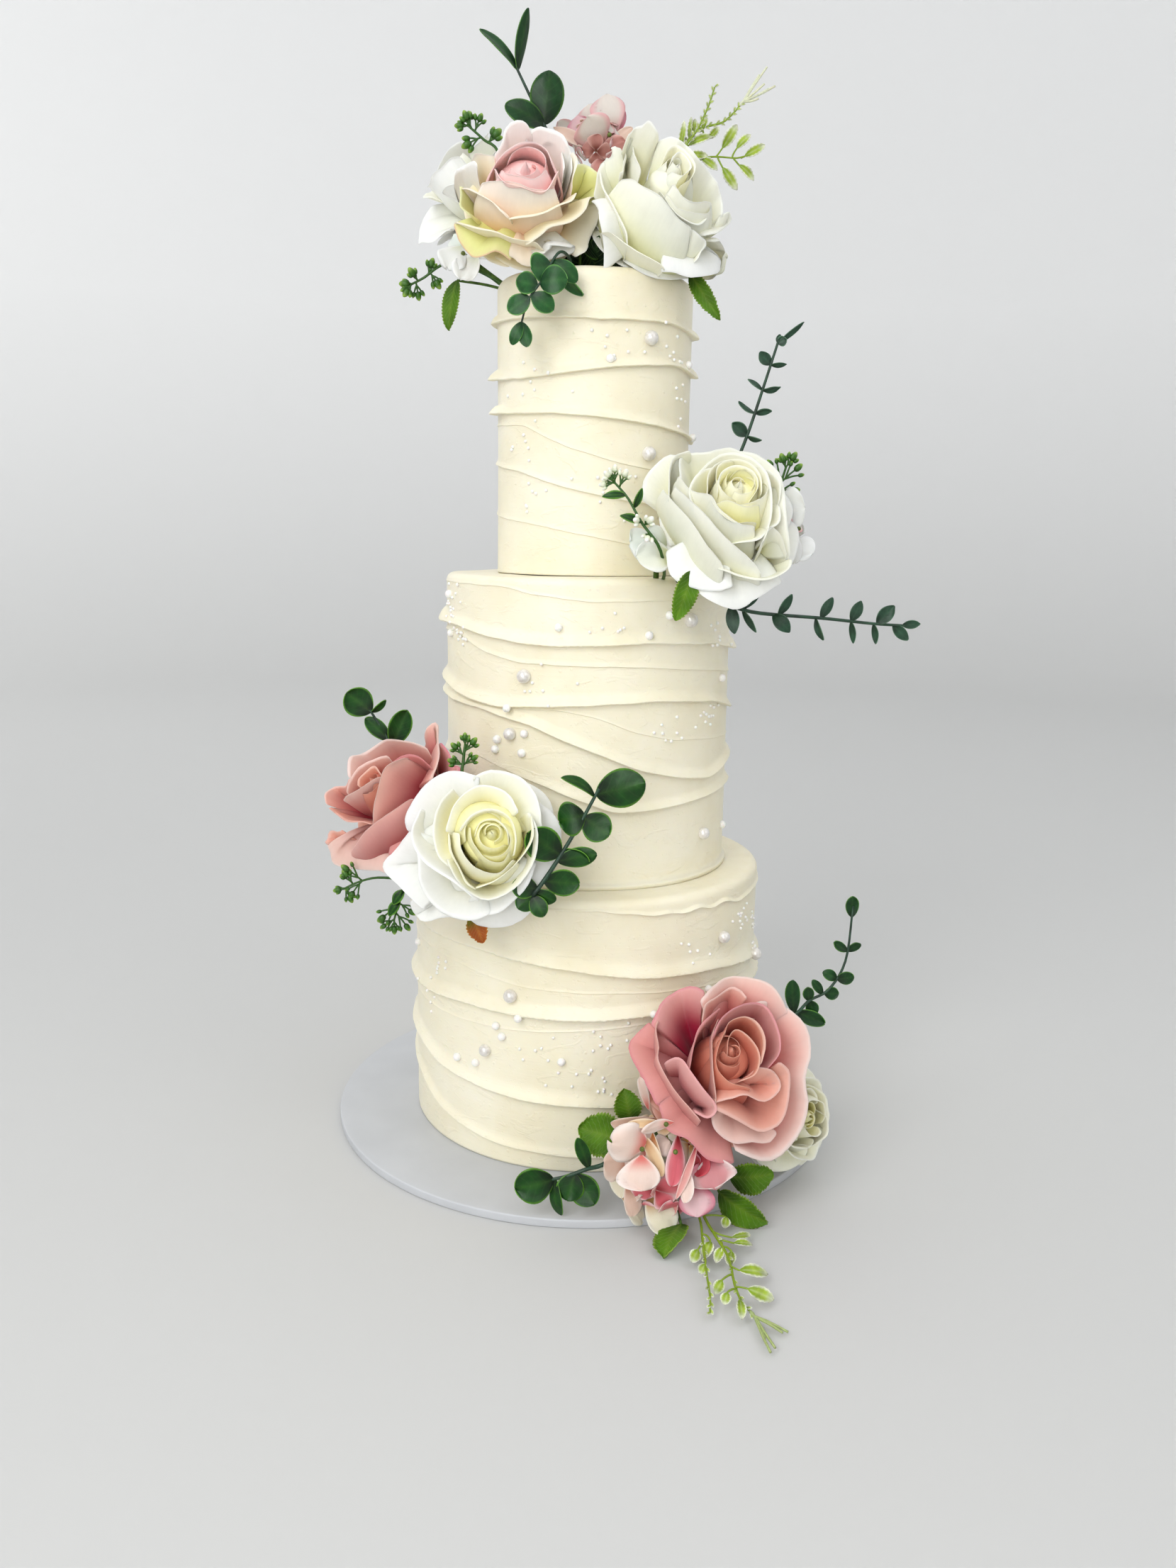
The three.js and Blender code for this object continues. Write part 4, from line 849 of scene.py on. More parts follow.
PINK_ROSE_FRONT = [
    ("u", "heart", (-3.5, -3, 28), (-1.5, 5.5, 28), (3.5, 9.5, 28), (9.5, 4, 28), (12.5, -4, 27.5),
     (9, -12.5, 27.5), (1, -15.5, 27.5)),
    ("u", "heart", (-3, 8, 28), (1, 14.5, 27.5), (10.5, 17, 25.5), (16.5, 12, 25), (17, 2.5, 27),
     (12.5, -8, 27.5)),
    ("c", "heart", (-2, 10.5, 28), (-8.5, 0.5, 28), (-10, -8.5, 27.5), (-4.5, -16.5, 27),
     (6.5, -19, 25.5)),
    ("u", "peach", (-3.5, 18, 26.5), (-9.5, 8.5, 27.5), (-11.5, -5, 27.5), (-11.5, -16, 25.5),
     (-10.5, -24, 22)),
    ("o", "peach", (-12, -22.5, 22.5), (-4, -22, 24), (3.5, -21, 24.5), (14.5, -24, 20.5), (24, -18, 19),
     (21, -11.5, 23), (12, -9.5, 27.5)),
    ("b", "rose", (-9, 6.5, 28), (-1.5, 17.5, 26.5), (13, 26.5, 19.5), (28.5, 28.5, 10.5),
     (30.5, 15, 16.5), (28, 0.5, 20.5), (18.5, -9.5, 25)),
    ("u", "rose", (0.5, 25, 23), (-11, 15.5, 26), (-18.5, 5, 26), (-22.5, -7.5, 23.5)),
    ("b", "rose", (-32, -1, 18), (-26.5, -1, 22), (-23, -6.5, 23.5), (-17.5, -17, 23), (-12, -25.5, 20.5),
     (-15.5, -29, 17), (-21.5, -25, 17)),
    ("o", "peach", (-12, -23.5, 22), (-0.5, -30.5, 19), (12.5, -36, 12.5), (24.5, -31.5, 10.5),
     (29.5, -21, 14.5), (30.5, -11, 17.5), (25, -6.5, 22.5)),
    ("f", "pale", (-10.5, -26, 14.5), (-9.5, -33.5, 11), (-1, -39.5, 7), (9, -39.5, 6), (17.5, -39, 2.5),
     (22, -35, 5)),
    ("o", "pale", (28, 33, 6), (41, 30.5, 2.5), (50.5, 18, 5.5), (51.5, 4.5, 2), (43.5, -9.5, 3.5),
     (43, -24, -1), (34, -38, -2), (19, -47, -2.5), (0.5, -42, 6.5)),
    ("o", "pale", (-6, 31, 16.5), (2, 38, 12.5), (18.5, 48, 2.5), (34.5, 41.5, 7), (46, 25, 4.5)),
    ("b", "peach", (-11, 18, 25), (-3, 30.5, 18.5), (13, 40, 7.5), (19.5, 33, 13)),
    ("o", "rose", (-32, 22.5, 10.5), (-24, 35.5, 6), (-13, 42, 4.5), (-3, 37, 13)),
    ("u", "umber", (-29.5, 24, 10.5), (-32, 19, 12), (-34, 9.5, 15.5), (-36, 2.5, 14.5),
     (-31.5, -11.5, 16.5), (-24, -23.5, 16.5), (-18.5, -30, 15.5)),
    ("f", "rose", (-33, 27, 4), (-42.5, 20.5, -1.5), (-44, 12.5, 0), (-40.5, -3.5, 6.5),
     (-35.5, -17.5, 7.5)),
    ("f", "rose", (-36, -15.5, 8), (-32, -28.5, 4), (-23, -35, 4.5), (-13, -44, 0), (0.5, -47, -1.5)),
]
make_rose("pink_rose_front", "pink", 94, 54, 12, 42, (69.6, -127.2, 78.8),
          PINK_ROSE_FRONT, heart=(9.5, 4, 28, "heart"), rim="peach", seed=3)

WHITE_ROSE_LEFT = [
    ("u", "heart", (-8, -1, 25), (-5.5, 5.5, 25), (1.5, 6.5, 25), (7, 1.5, 25), (8.5, -5.5, 25)),
    ("c", "heart", (-10.5, 3, 24.5), (-9, -4.5, 25), (-3, -12.5, 24.5), (5, -14, 24), (9, -8, 24.5)),
    ("u", "lemon", (-15.5, 2, 23.5), (-9, 9, 24.5), (0, 11, 24.5), (8.5, 7, 24.5), (11.5, -1, 24.5),
     (10.5, -10.5, 24)),
    ("c", "lemon", (-17, 0.5, 23), (-15, -8, 23), (-8, -16.5, 22), (3, -19.5, 21.5), (10, -12.5, 23.5)),
    ("u", "lemon", (-21, 0.5, 20.5), (-19.5, -9, 20.5), (-14, -20.5, 18), (-8.5, -27, 15.5)),
    ("u", "lemon", (-8, -26, 16.5), (2, -22.5, 20), (12.5, -14.5, 21.5), (19, -2.5, 21.5),
     (18.5, 9.5, 21)),
    ("b", "white", (-22, 2, 20.5), (-18, 16.5, 18.5), (-6.5, 24.5, 18), (6.5, 21, 20.5),
     (12, 10.5, 23.5)),
    ("b", "white", (-19.5, 23.5, 14), (-26, 15.5, 14), (-29, 2.5, 15), (-27, -9.5, 15.5),
     (-21, -15.5, 17)),
    ("b", "white", (-22, -12, 18), (-15.5, -24, 15.5), (-3.5, -31.5, 12.5), (10, -25.5, 16),
     (19, -13, 19.5), (21, 0.5, 21), (17.5, 10.5, 21)),
    ("b", "cool", (-37, 15, 2.5), (-40, 2, 2.5), (-33, -10.5, 9.5), (-19, -21.5, 15),
     (-6.5, -31.5, 12.5)),
    ("o", "cool", (-41, 4, -2), (-41, 12.5, -1), (-33.5, 26.5, 0), (-21, 33, 4), (-6.5, 29, 14.5)),
    ("o", "white", (-9.5, 29.5, 13.5), (1, 32.5, 12.5), (13.5, 28, 13.5), (22.5, 16.5, 16),
     (24, 3, 18.5)),
    ("f", "cool", (22, 18.5, 12), (30.5, 12, 9), (33.5, 0, 8.5), (29.5, -16, 8), (18, -27, 9.5)),
    ("f", "cool", (-40, 4.5, -2), (-49.5, -6, -8.5), (-54.5, -14, -11.5), (-48, -23, -10.5),
     (-34.5, -35.5, -9)),
    ("o", "cool", (-37.5, -7, 4), (-35, -22.5, 0), (-25, -36, -1.5), (-11.5, -39, 1), (0.5, -36.5, 6)),
    ("o", "cool", (-5, -39, 3), (6.5, -34.5, 8), (15.5, -24, 14.5), (20.5, -13, 17.5)),
    ("f", "cool", (-38.5, -31, -13.5), (-40.5, -40, -17), (-32.5, -42, -15), (-20, -39.5, -10)),
    ("d", "cool", (-15.5, -39.5, -4.5), (-6.5, -45, -7), (5, -45, -7), (16.5, -39.5, -5.5),
     (23, -31, -0.5)),
]
make_rose("white_rose_left", "white", 82, 48, 4, 18, (-49.7, -114.3, 199.5),
          WHITE_ROSE_LEFT, heart=(12, 5, 28, "heart"), rim="cool", seed=5)

WHITE_ROSE_MIDDLE = [
    ("u", "heart", (-11, -5, 26.5), (-9, 4.5, 27), (-1.5, 9, 27), (6.5, 5.5, 27), (8.5, -2.5, 27),
     (4, -10, 26.5)),
    ("c", "heart", (-12.5, -10.5, 25.5), (-6, -10.5, 26.5), (2, -14, 26.5), (9, -11.5, 26.5)),
    ("u", "lemon", (-16, -5, 25.5), (-14.5, 7, 25.5), (-7, 15.5, 25), (3, 14.5, 26.5), (9.5, 6, 26.5),
     (11, -4.5, 26.5)),
    ("b", "green", (-24.5, 2.5, 21), (-16.5, 14, 22.5), (-5, 25, 20), (7, 20.5, 22.5), (14, 4.5, 26.5),
     (15, -13.5, 23.5), (11.5, -25, 18.5)),
    ("c", "green", (-28, 16.5, 14.5), (-23, 1, 22), (-14, -6.5, 26), (-10.5, -13.5, 25),
     (-1, -20.5, 23.5), (7, -20.5, 22.5)),
    ("c", "white", (-30.5, 10, 15), (-22, -7, 22), (-12.5, -19.5, 21.5), (-1, -29.5, 16.5), (12, -37, 7)),
    ("c", "green", (-35.5, 13, 8.5), (-30, -4.5, 16.5), (-20.5, -20, 17.5), (-13.5, -30, 14),
     (-7.5, -36.5, 9.5)),
    ("u", "green", (-33, 2.5, 14), (-32, 23, 6.5), (-26.5, 38, 4), (-19.5, 41, 3.5)),
    ("o", "white", (-42.5, 14.5, -2), (-41.5, 26, -0.5), (-35, 34.5, 4), (-26.5, 39, 4.5)),
    ("b", "green", (-27, 13, 16.5), (-23.5, 38.5, 1), (-11, 41.5, 1.5), (-0.5, 34, 14),
     (9.5, 17.5, 23.5)),
    ("o", "green", (3.5, 33, 13), (14.5, 30.5, 12.5), (21.5, 16.5, 18), (22.5, -3, 21), (24, -16.5, 16.5),
     (26, -27, 8)),
    ("u", "white", (11, -25.5, 18.5), (15, -19.5, 21), (21.5, -21, 16.5), (26, -27, 9)),
    ("b", "green", (-10, -35, 10), (-0.5, -38.5, 7.5), (14, -38, 4.5), (25.5, -32.5, 3.5),
     (26.5, -27.5, 7.5)),
    ("d", "cool", (-35, -20.5, 2), (-30.5, -32.5, -3), (-18.5, -40, -2.5), (-8.5, -42, -1),
     (-2, -40, 2.5)),
    ("d", "cool", (-22.5, -36.5, -4.5), (-11.5, -43.5, -6.5), (2, -47, -10), (11.5, -42.5, -5.5),
     (25, -34, -3.5)),
]
make_rose("white_rose_middle", "white", 86, 52, 2, 36, (72.3, -77.1, 361.7),
          WHITE_ROSE_MIDDLE + spiral_lips(43, 52, 8, 1.0, ("lemon", "lemon", "white"), 0.62),
          heart=(9.5, 4, 28, "lemon"), rim="cool", seed=7)

BLUSH_ROSE_TOP = [
    ("c", "heart", (-15, 4, 25), (-9.5, 7, 26.5), (-2.5, 11.5, 26.5), (5, 17, 23.5), (10.5, 13, 24),
     (13, 2.5, 26.5)),
    ("c", "heart", (-12, -3.5, 26.5), (-9.5, -6.5, 26.5), (-4.5, -8.5, 26.5), (2.5, -10, 26.5),
     (7, -7, 26.5), (10, -2.5, 26.5)),
    ("u", "heart", (-15, 0, 25), (-10.5, -9.5, 25.5), (-2.5, -13, 26), (6.5, -14, 25),
     (11.5, -10.5, 24.5), (16, 1, 24.5)),
    ("c", "blush", (-21.5, -4, 21), (-15, -8, 24), (-4.5, -12, 26.5), (2.5, -14, 25.5), (10, -13, 24.5),
     (14.5, -9.5, 23.5)),
    ("u", "white", (19, 4.5, 22.5), (19.5, 23, 14), (16.5, 25.5, 16), (9, 28.5, 15)),
    ("u", "cream", (23.5, 19, 18.5), (25, 12, 15), (24, -2, 18.5)),
    ("b", "blush", (-31.5, 2, 11.5), (-25.5, -5.5, 16.5), (-18.5, -13.5, 19.5), (-13, -18.5, 19.5),
     (-8.5, -21.5, 19.5)),
    ("b", "cream", (-8, -22, 19.5), (1, -22, 20.5), (10, -19.5, 20.5), (17, -14.5, 20), (23, -9.5, 18),
     (26.5, -2, 16)),
    ("b", "cream", (-36, -11, 2.5), (-29.5, -18, 7), (-22, -23, 10.5), (-15, -26.5, 13),
     (-8, -29.5, 12.5), (-0.5, -31, 12), (5, -31, 11.5), (9.5, -32, 8.5)),
    ("o", "cream", (0, -30.5, 12.5), (6.5, -28, 14.5), (12, -24, 16), (21, -19.5, 14.5),
     (28.5, -11, 12.5), (32, -2, 10.5), (35.5, 5.5, 5)),
    ("u", "white", (-36.5, 17.5, 1.5), (-31.5, 21.5, 1.5), (-25, 9, 16.5)),
    ("u", "cream", (-28, 27.5, 1), (-22, 19, 14), (-15, 9.5, 23.5)),
    ("u", "white", (-15, 9.5, 23.5), (-11, 23.5, 17), (-9.5, 29, 18.5), (-7, 29.5, 22.5), (-2, 30, 24.5),
     (1.5, 30, 22.5), (4, 30, 17)),
    ("u", "white", (1.5, 28, 15.5), (3.5, 30, 18), (7, 29.5, 21), (12.5, 27.5, 21), (18, 24.5, 22),
     (21.5, 21.5, 20.5), (24, 19, 16.5), (24.5, 9.5, 17)),
    ("o", "lime", (24.5, 15, 13.5), (32, 24.5, 3), (36.5, 20, 4), (39.5, 15.5, 2), (36.5, 11, 0.5),
     (35, 3, 5)),
    ("b", "lime", (-32, 3.5, 10.5), (-33, -7, 8), (-27.5, -14.5, 12)),
    ("d", "crimson", (-36.5, -9.5, -0.5), (-34, -16.5, -1.5), (-31.5, -22.5, -2), (-26.5, -28.5, -2.5),
     (-20.5, -30, 1), (-15, -30.5, 4.5), (-7.5, -33.5, 3.5)),
    ("d", "white", (8.5, -31.5, 7), (12, -29.5, 8.5), (21.5, -26.5, 5.5), (26.5, -24, 2.5),
     (26, -26.5, 0.5), (21.5, -29.5, 2), (14, -32.5, 3), (3, -36, 2.5)),
    ("f", "cream", (35.5, 5, 2.5), (37, -2, 1), (35, -14.5, -0.5), (31, -23, -1), (25.5, -27.5, 0)),
    ("d", "blush", (-9.5, -32.5, 3.5), (-4, -35, 1.5), (1.5, -36, 1), (7.5, -34, 2.5)),
]
make_rose("blush_rose_top", "blush", 76, 52, 4, 28, (-37.3, -39.0, 520.7),
          BLUSH_ROSE_TOP, heart=(11, 3, 27, "heart"), rim="cream", seed=9)

WHITE_ROSE_TOP_RIGHT = [
    ("u", "lemon", (-4, 2, 31), (1, 5, 31), (3.5, 0, 31.5), (3, -6, 31), (-3.5, -11, 30.5)),
    ("u", "lemon", (-5, 7.5, 31), (0.5, 10.5, 31), (4.5, 3.5, 31), (6.5, -4, 31), (2.5, -12, 30.5),
     (-3, -14.5, 29.5)),
    ("c", "green", (-6.5, -13.5, 29.5), (-2, -19, 27), (6, -20, 26), (18, -14, 24.5)),
    ("c", "green", (-9.5, -16.5, 27), (-4, -22.5, 24.5), (4, -23.5, 23.5), (13.5, -21.5, 22.5),
     (19, -15, 23.5)),
    ("b", "green", (-12.5, -14, 27), (-8, -21, 25), (-2, -25, 22.5), (6.5, -26, 20.5), (11, -24, 20.5),
     (14.5, -20.5, 22)),
    ("c", "green", (-27.5, 1, 20), (-24, -3.5, 23), (-20.5, -10.5, 24.5), (-14.5, -16, 25.5),
     (-9.5, -20.5, 24.5), (-5.5, -24.5, 22), (-0.5, -27.5, 20), (4.5, -28, 19)),
    ("b", "white", (-30, 19, 10.5), (-34, 2, 13), (-32, -10.5, 13), (-28, -22, 10), (-25.5, -28, 6.5)),
    ("b", "green", (-36, -17, 3), (-32, -21.5, 5), (-26, -28.5, 5.5), (-19.5, -34, 5), (-12, -37.5, 4),
     (-6.5, -39, 3.5)),
    ("u", "green", (-19.5, 26.5, 27.5), (-16, 28.5, 29), (-13.5, 27, 31.5), (-11.5, 25.5, 36),
     (-7.5, 21.5, 34), (-4, 22.5, 30.5)),
    ("u", "white", (-17.5, 27.5, 26.5), (-13.5, 27, 19.5), (-19.5, 6.5, 26), (-19, -1.5, 27)),
    ("b", "green", (-4, 22.5, 30.5), (-0.5, 18, 33.5), (2, 14, 34), (6.5, 12, 32), (10.5, 5.5, 30.5),
     (22, 5, 25.5), (26, 1.5, 23.5), (29.5, -1.5, 18), (28, -11, 17)),
    ("o", "green", (28, -11, 17), (35, -7, 15), (35.5, -8.5, 9.5), (22, -23.5, 15.5), (12.5, -27, 17.5)),
    ("o", "white", (18.5, -26.5, 14.5), (27, -23, 9.5), (33.5, -21.5, 3), (34, -23, 1)),
    ("d", "cool", (31.5, -25, 1.5), (31.5, -26.5, -1), (28, -32, -2), (19, -36.5, -0.5), (9.5, -39.5, 0),
     (5, -40, 0.5), (-1.5, -39.5, 1.5), (-7.5, -39, 2)),
    ("b", "green", (4.5, -27.5, 19.5), (9.5, -30.5, 16), (13.5, -31.5, 12.5), (14, -33, 9.5),
     (11.5, -35, 8)),
    ("u", "green", (-16, 27.5, 16.5), (-25, 6, 21.5), (-27.5, 1.5, 20)),
    ("o", "green", (-36.5, 6.5, 7), (-31, 17.5, 9.5), (-24.5, 26.5, 10), (-24, 26.5, 16), (-19, 27, 19)),
    ("d", "cool", (-36.5, 3.5, 5.5), (-36, -5, 6), (-35.5, -14.5, 3), (-33.5, -30, -9)),
]
make_rose("white_rose_top_right", "white", 82, 60, 22, 38, (32.2, -30.6, 518.1),
          WHITE_ROSE_TOP_RIGHT, heart=(9, 4, 30.5, "green"), rim="cool", seed=13)

PINK_ROSE_LEFT = [
    ("u", "heart", (-4, -5.5, 28), (-4, -1.5, 28), (-1, 2, 28.5), (2, 5, 28), (7, 2, 28)),
    ("u", "pale", (-19, -11, 22), (-7.5, -10.5, 27.5), (-1.5, -7, 28), (3.5, -2.5, 28), (7.5, 1.5, 28)),
    ("u", "peach", (-15.5, -8.5, 24.5), (-11.5, -2.5, 27.5), (-7.5, 3.5, 28), (-0.5, 10, 27.5),
     (4, 13.5, 27)),
    ("c", "peach", (6, -22, 21), (8, -14, 25.5), (9, -7, 27.5), (8.5, 1.5, 28), (8.5, 8, 27.5),
     (10.5, 17.5, 23)),
    ("u", "dusk", (8.5, 8, 27.5), (10.5, 17.5, 23), (13, 19.5, 20.5), (17, 19.5, 18), (22, 17, 16.5)),
    ("b", "peach", (-26.5, -16.5, 23), (-22.5, -18, 15.5), (-6, -21.5, 21.5), (5, -21, 22)),
    ("u", "pale", (-14, -1, 27), (-19, 10.5, 28.5), (-23, 18.5, 17.5), (-16.5, 25.5, 16.5),
     (-11, 29, 16.5), (1.5, 30.5, 14), (12, 28.5, 13.5)),
    ("b", "peach", (-26.5, -15.5, 25), (-29, -10.5, 24.5), (-30.5, -4, 18.5), (-19.5, -3, 23.5),
     (-15, -1, 26.5)),
    ("o", "peach", (-2.5, 41, 2.5), (1, 43.5, 4.5), (4.5, 48, 5.5), (6, 40.5, 0.5), (19.5, 26.5, 10.5),
     (24.5, 16, 14.5), (25, 11, 16.5)),
    ("o", "rose", (6, 39.5, -0.5), (12, 36.5, 0.5), (19, 32.5, 2), (25.5, 25.5, 4), (28.5, 25, 2),
     (30.5, 19.5, 4.5)),
    ("c", "umber", (-18, -34, 1.5), (-5, -31, 13), (3.5, -24.5, 19.5), (12, -18, 22), (18.5, -12, 21.5),
     (23, -5, 20), (25, -3, 19)),
    ("d", "pale", (-33, -31, 4), (-32, -34, 1.5), (-29, -38.5, -1.5), (-21.5, -38.5, -5), (-7, -39.5, -3),
     (3.5, -38.5, -1.5), (10, -38.5, -3)),
    ("o", "peach", (-23.5, -23.5, 9), (-32.5, -26, 3), (-32.5, -30.5, 5)),
    ("f", "rose", (11, -31.5, 7), (22, -27, 5.5), (31, -15.5, 5.5), (34, -2.5, 6), (33, 13.5, 4)),
]
make_rose("pink_rose_left", "pink", 77, 54, -32, 38, (-102.2, -76.9, 207.9),
          PINK_ROSE_LEFT, heart=(8, 4, 27.5, "heart"), rim="peach", seed=17)

make_rose("white_rose_top_left", "white", 78, 46, -62, 46, (-67, 22, 542),
          spiral_lips(42, 46, 7, 2.6, ("cool", "green", "cool")), heart=(6, 3, 21, "white"), rim="cool",
          seed=21)

make_rose("white_rose_front", "white", 68, 44, 38, 18, (110, -94, 35.5),
          spiral_lips(34, 44, 15, 4.4, ("lemon", "white", "white", "white")),
          heart=(7.5, 5, 21.5, "heart"), rim="cool", seed=23)

# ---- hydrangeas ----
# Heads of artificial hydrangea: separate rounded petals of thin printed cloth, set in fours round a small
# green bead and packed so that they overlap. The colour is printed from the foot outward, and the rim curls
# back.
BLADE_COLUMNS = np.array([-1, -0.86, -0.6, -0.3, -0.08, 0, 0.08, 0.3, 0.6, 0.86, 1])
FOOT_WIDTH = 0.10  # of a blade's width, left where its outline comes to a point
TIP_WIDTH = 0.05
CLOTH = 0.25  # thickness
TABLE_GAP = 0.5  # leaves and petals stay this far above the table
# Dyes of a petal: at its foot, on its face, along its edge and on its outer side.
HYDRANGEA_DYES = {
    "pale": ("#D86C64", "#F0D2C4", "#F6E4DA", "#E8C6B6"),
    "cream": ("#D09A48", "#F4E9CB", "#F5F0DD", "#EBDDBC"),
    "apricot": ("#A85E20", "#F2C89A", "#F8DEC0", "#E4B484"),
    "coral": ("#98101E", "#DE6470", "#F4CACA", "#D67C7C"),
    "red": ("#5E0008", "#B02838", "#D6535E", "#9A2A30"),
    "salmon": ("#B8404A", "#EFA49D", "#F6CCC3", "#E39E94"),
    "rose": ("#A43850", "#DC9498", "#F3D8D4", "#CE8686"),
    "blossom": ("#BC5070", "#E8BCC0", "#D67C90", "#E0B2B6"),
    "beige": ("#A86C54", "#DDBBAA", "#E4CCBE", "#CCA896"),
    "umber": ("#803C34", "#BE8078", "#D4A29A", "#A86C64"),
    "grey": ("#B0685A", "#DDD3C9", "#DFA5A8", "#D2C3B7"),
    "mint": ("#C3CFB6", "#E2EAE1", "#EFF3EC", "#DCE5DB"),
    "green": ("#C9CF8E", "#EDEFDC", "#F5F6EE", "#E6E9D2"),
    "white": ("#DDE0C8", "#F5F6F2", "#FBFBF9", "#F1F2EE"),
}
# Each petal is its dye, the point of its foot, that of its tip, and its width.
HYDRANGEAS = {
    "pink_hydrangea_front": [
        ("pale", (31, -160, 53.5), (13.5, -168, 57.5), 19.5),
        ("pale", (28.5, -164, 48.5), (29.5, -172, 33.5), 19),
        ("apricot", (28.5, -158, 57), (39, -166, 38), 6),
        ("apricot", (34.5, -156, 56.5), (38, -164, 38), 7),
        ("coral", (47.5, -152, 54), (44, -168, 34), 9.5),
        ("red", (50.5, -146, 51.5), (59, -150, 37), 12.5),
        ("salmon", (57.5, -154, 50.5), (46, -170, 28), 3), ("pale", (52, -158, 39.5), (50.5, -172, 27), 6),
        ("red", (60.5, -150, 47), (58, -158, 33.5), 8), ("rose", (64, -152, 42.5), (66.5, -166, 31), 21),
        ("blossom", (56, -156, 29.5), (56.5, -168, 17), 16),
        ("salmon", (47.5, -154, 29.5), (34, -160, 25), 8),
        ("salmon", (41.5, -150, 21), (47, -158, 12), 12.5), ("cream", (32.5, -152, 20), (43, -162, 3), 14),
        ("cream", (39.5, -149, 12), (49, -156, 1), 9), ("beige", (22, -152, 26.5), (25, -158, 11), 9),
        ("cream", (20, -148, 15.5), (30.5, -150, 1.5), 8),
        ("beige", (23.5, -150, 35), (10, -156, 40), 14.5),
        ("cream", (13, -146, 34.5), (19.5, -150, 16.5), 6.5),
        ("beige", (36, -150, 61.5), (13, -158, 63), 8),
        ("apricot", (39.5, -154, 61), (21, -162, 64.5), 3.5),
        ("pale", (45, -156, 62.5), (28.5, -164, 61), 5.5),
        ("pale", (33, -140, 61.5), (27.5, -146, 82), 3.5),
        ("beige", (37.5, -132, 51.5), (36.5, -138, 72.5), 12.5),
    ],
    "pink_hydrangea_top": [
        ("grey", (4, 20, 567.5), (-5, 8, 579.5), 19), ("grey", (8.5, 26, 572), (6.5, 28, 597.5), 17),
        ("blossom", (0.5, 26, 571), (-10.5, 24, 585), 21), ("grey", (2, 32, 579.5), (-3.5, 34, 594), 14),
        ("beige", (4, 22, 564), (-24, 18, 576.5), 6.5),
        ("grey", (-3.5, 28, 567), (-21.5, 30, 583.5), 10.5),
        ("beige", (4, 24, 568.5), (20.5, 22, 578.5), 6.5), ("umber", (3, 20, 566), (16.5, 16, 569.5), 8),
        ("umber", (4, 20, 562), (1, 14, 550), 11), ("blossom", (7, 34, 572.5), (14, 36, 593.5), 12),
    ],
    "white_hydrangea_middle_left": [
        ("mint", (34, -84, 351), (19.5, -93, 350), 17),
        ("green", (41.5, -86, 343), (22.5, -95, 342.5), 15.5),
        ("white", (28, -82, 357), (37, -86, 345.5), 6), ("mint", (39, -78, 348.5), (29, -82, 357), 11),
    ],
    "white_hydrangea_middle_right": [
        ("white", (100, -56, 366), (113.5, -62, 368.5), 20.5),
        ("white", (104.5, -56, 351), (118.5, -62, 345), 14),
        ("white", (104.5, -58, 362), (109, -64, 340), 10.5),
        ("mint", (100.5, -60, 358.5), (103, -66, 346), 8.5),
        ("white", (101.5, -52, 367.5), (108, -50, 379), 13),
    ],
    "white_floret_top": [
        ("white", (-73.5, -10, 507.5), (-80, -18, 494), 14),
        ("white", (-64, -12, 502.5), (-73, -20, 488), 12.5),
        ("white", (-72, -8, 506.5), (-54, -10, 502.5), 8.5),
        ("mint", (-72, -6, 507.5), (-78, -4, 515), 10),
    ],
}
BEAD_RADIUS = 1.3
BEADS = [
    (45.5, -165, 51), (40.5, -164, 65.5), (7.5, 12, 571.5), (28.5, -168, 54), (110, -64, 358),
    (-72, -14, 503),
]


def blades(foot, tip, width, roll=0.0, skew=1.0, blunt=0.6, fold=0.0, bow=0.0, ruffle=0.0, teeth=0,
           bite=0.0, rows=13, seed=1, face=(0, -1, 0.15), lop=0.0):
    """Leaves or petals as sheets (blade, row, column), from the foot to the tip. The half width is that of
    the sine of pi times the share of the length to the power skew, raised to the power blunt; teeth cut
    bite millimetres into it. The sides fold toward the face, the midrib bows in a parabola, lop pushes the
    outline to one side, and sines ruffle it."""
    rng = np.random.default_rng(seed)
    foot, tip = np.asarray(foot, float), np.asarray(tip, float)
    width, roll, skew, blunt, fold, bow, lop = (
        np.broadcast_to(np.asarray(v, float), len(foot))[:, None, None]
        for v in (width, roll, skew, blunt, fold, bow, lop))
    axis = tip - foot
    length = np.linalg.norm(axis, axis=-1)[:, None, None]
    axis = unit(axis)
    face = np.asarray(face, float) + 0.01 * rng.standard_normal(foot.shape)
    face = unit(face - axis * (face * axis).sum(-1, keepdims=True))
    turn = np.radians(roll[:, 0])
    face = face * np.cos(turn) + np.cross(axis, face) * np.sin(turn)
    side = np.cross(axis, face)
    s = np.linspace(0, 1, rows)[None, :, None]
    if not teeth:
        s = 0.5 - 0.5 * np.cos(np.pi * s)
    v = BLADE_COLUMNS[None, None, :]
    half = np.sin(np.pi * np.clip(s, 0.001, 0.999) ** skew) ** blunt
    half = np.maximum(half, np.where(s < 0.5, FOOT_WIDTH, TIP_WIDTH)) * width / 2
    if teeth:
        half = half + bite * (0.5 - (s * teeth) % 1) * smooth(s, 0.08, 0.2) * (1 - smooth(s, 0.9, 1.0))
    lift = fold * width * np.abs(v) ** 1.6 * smooth(s, 0, 0.25) + bow * length * 4 * s * (1 - s)
    waves = ripple(v * np.ones_like(s) * np.ones_like(width) + 1.7 * s, rng, 1, 4)
    wave = ruffle * width * smooth(s, 0.2, 0.8) * np.abs(v) * waves
    grid = (foot[:, None, None] + axis[:, None, None] * (s * length)[..., None]
            + side[:, None, None] * (half * (v + lop * v * v))[..., None]
            + face[:, None, None] * (lift + wave)[..., None])
    return grid, s + 0 * grid[..., 0], np.abs(v) + 0 * grid[..., 0]


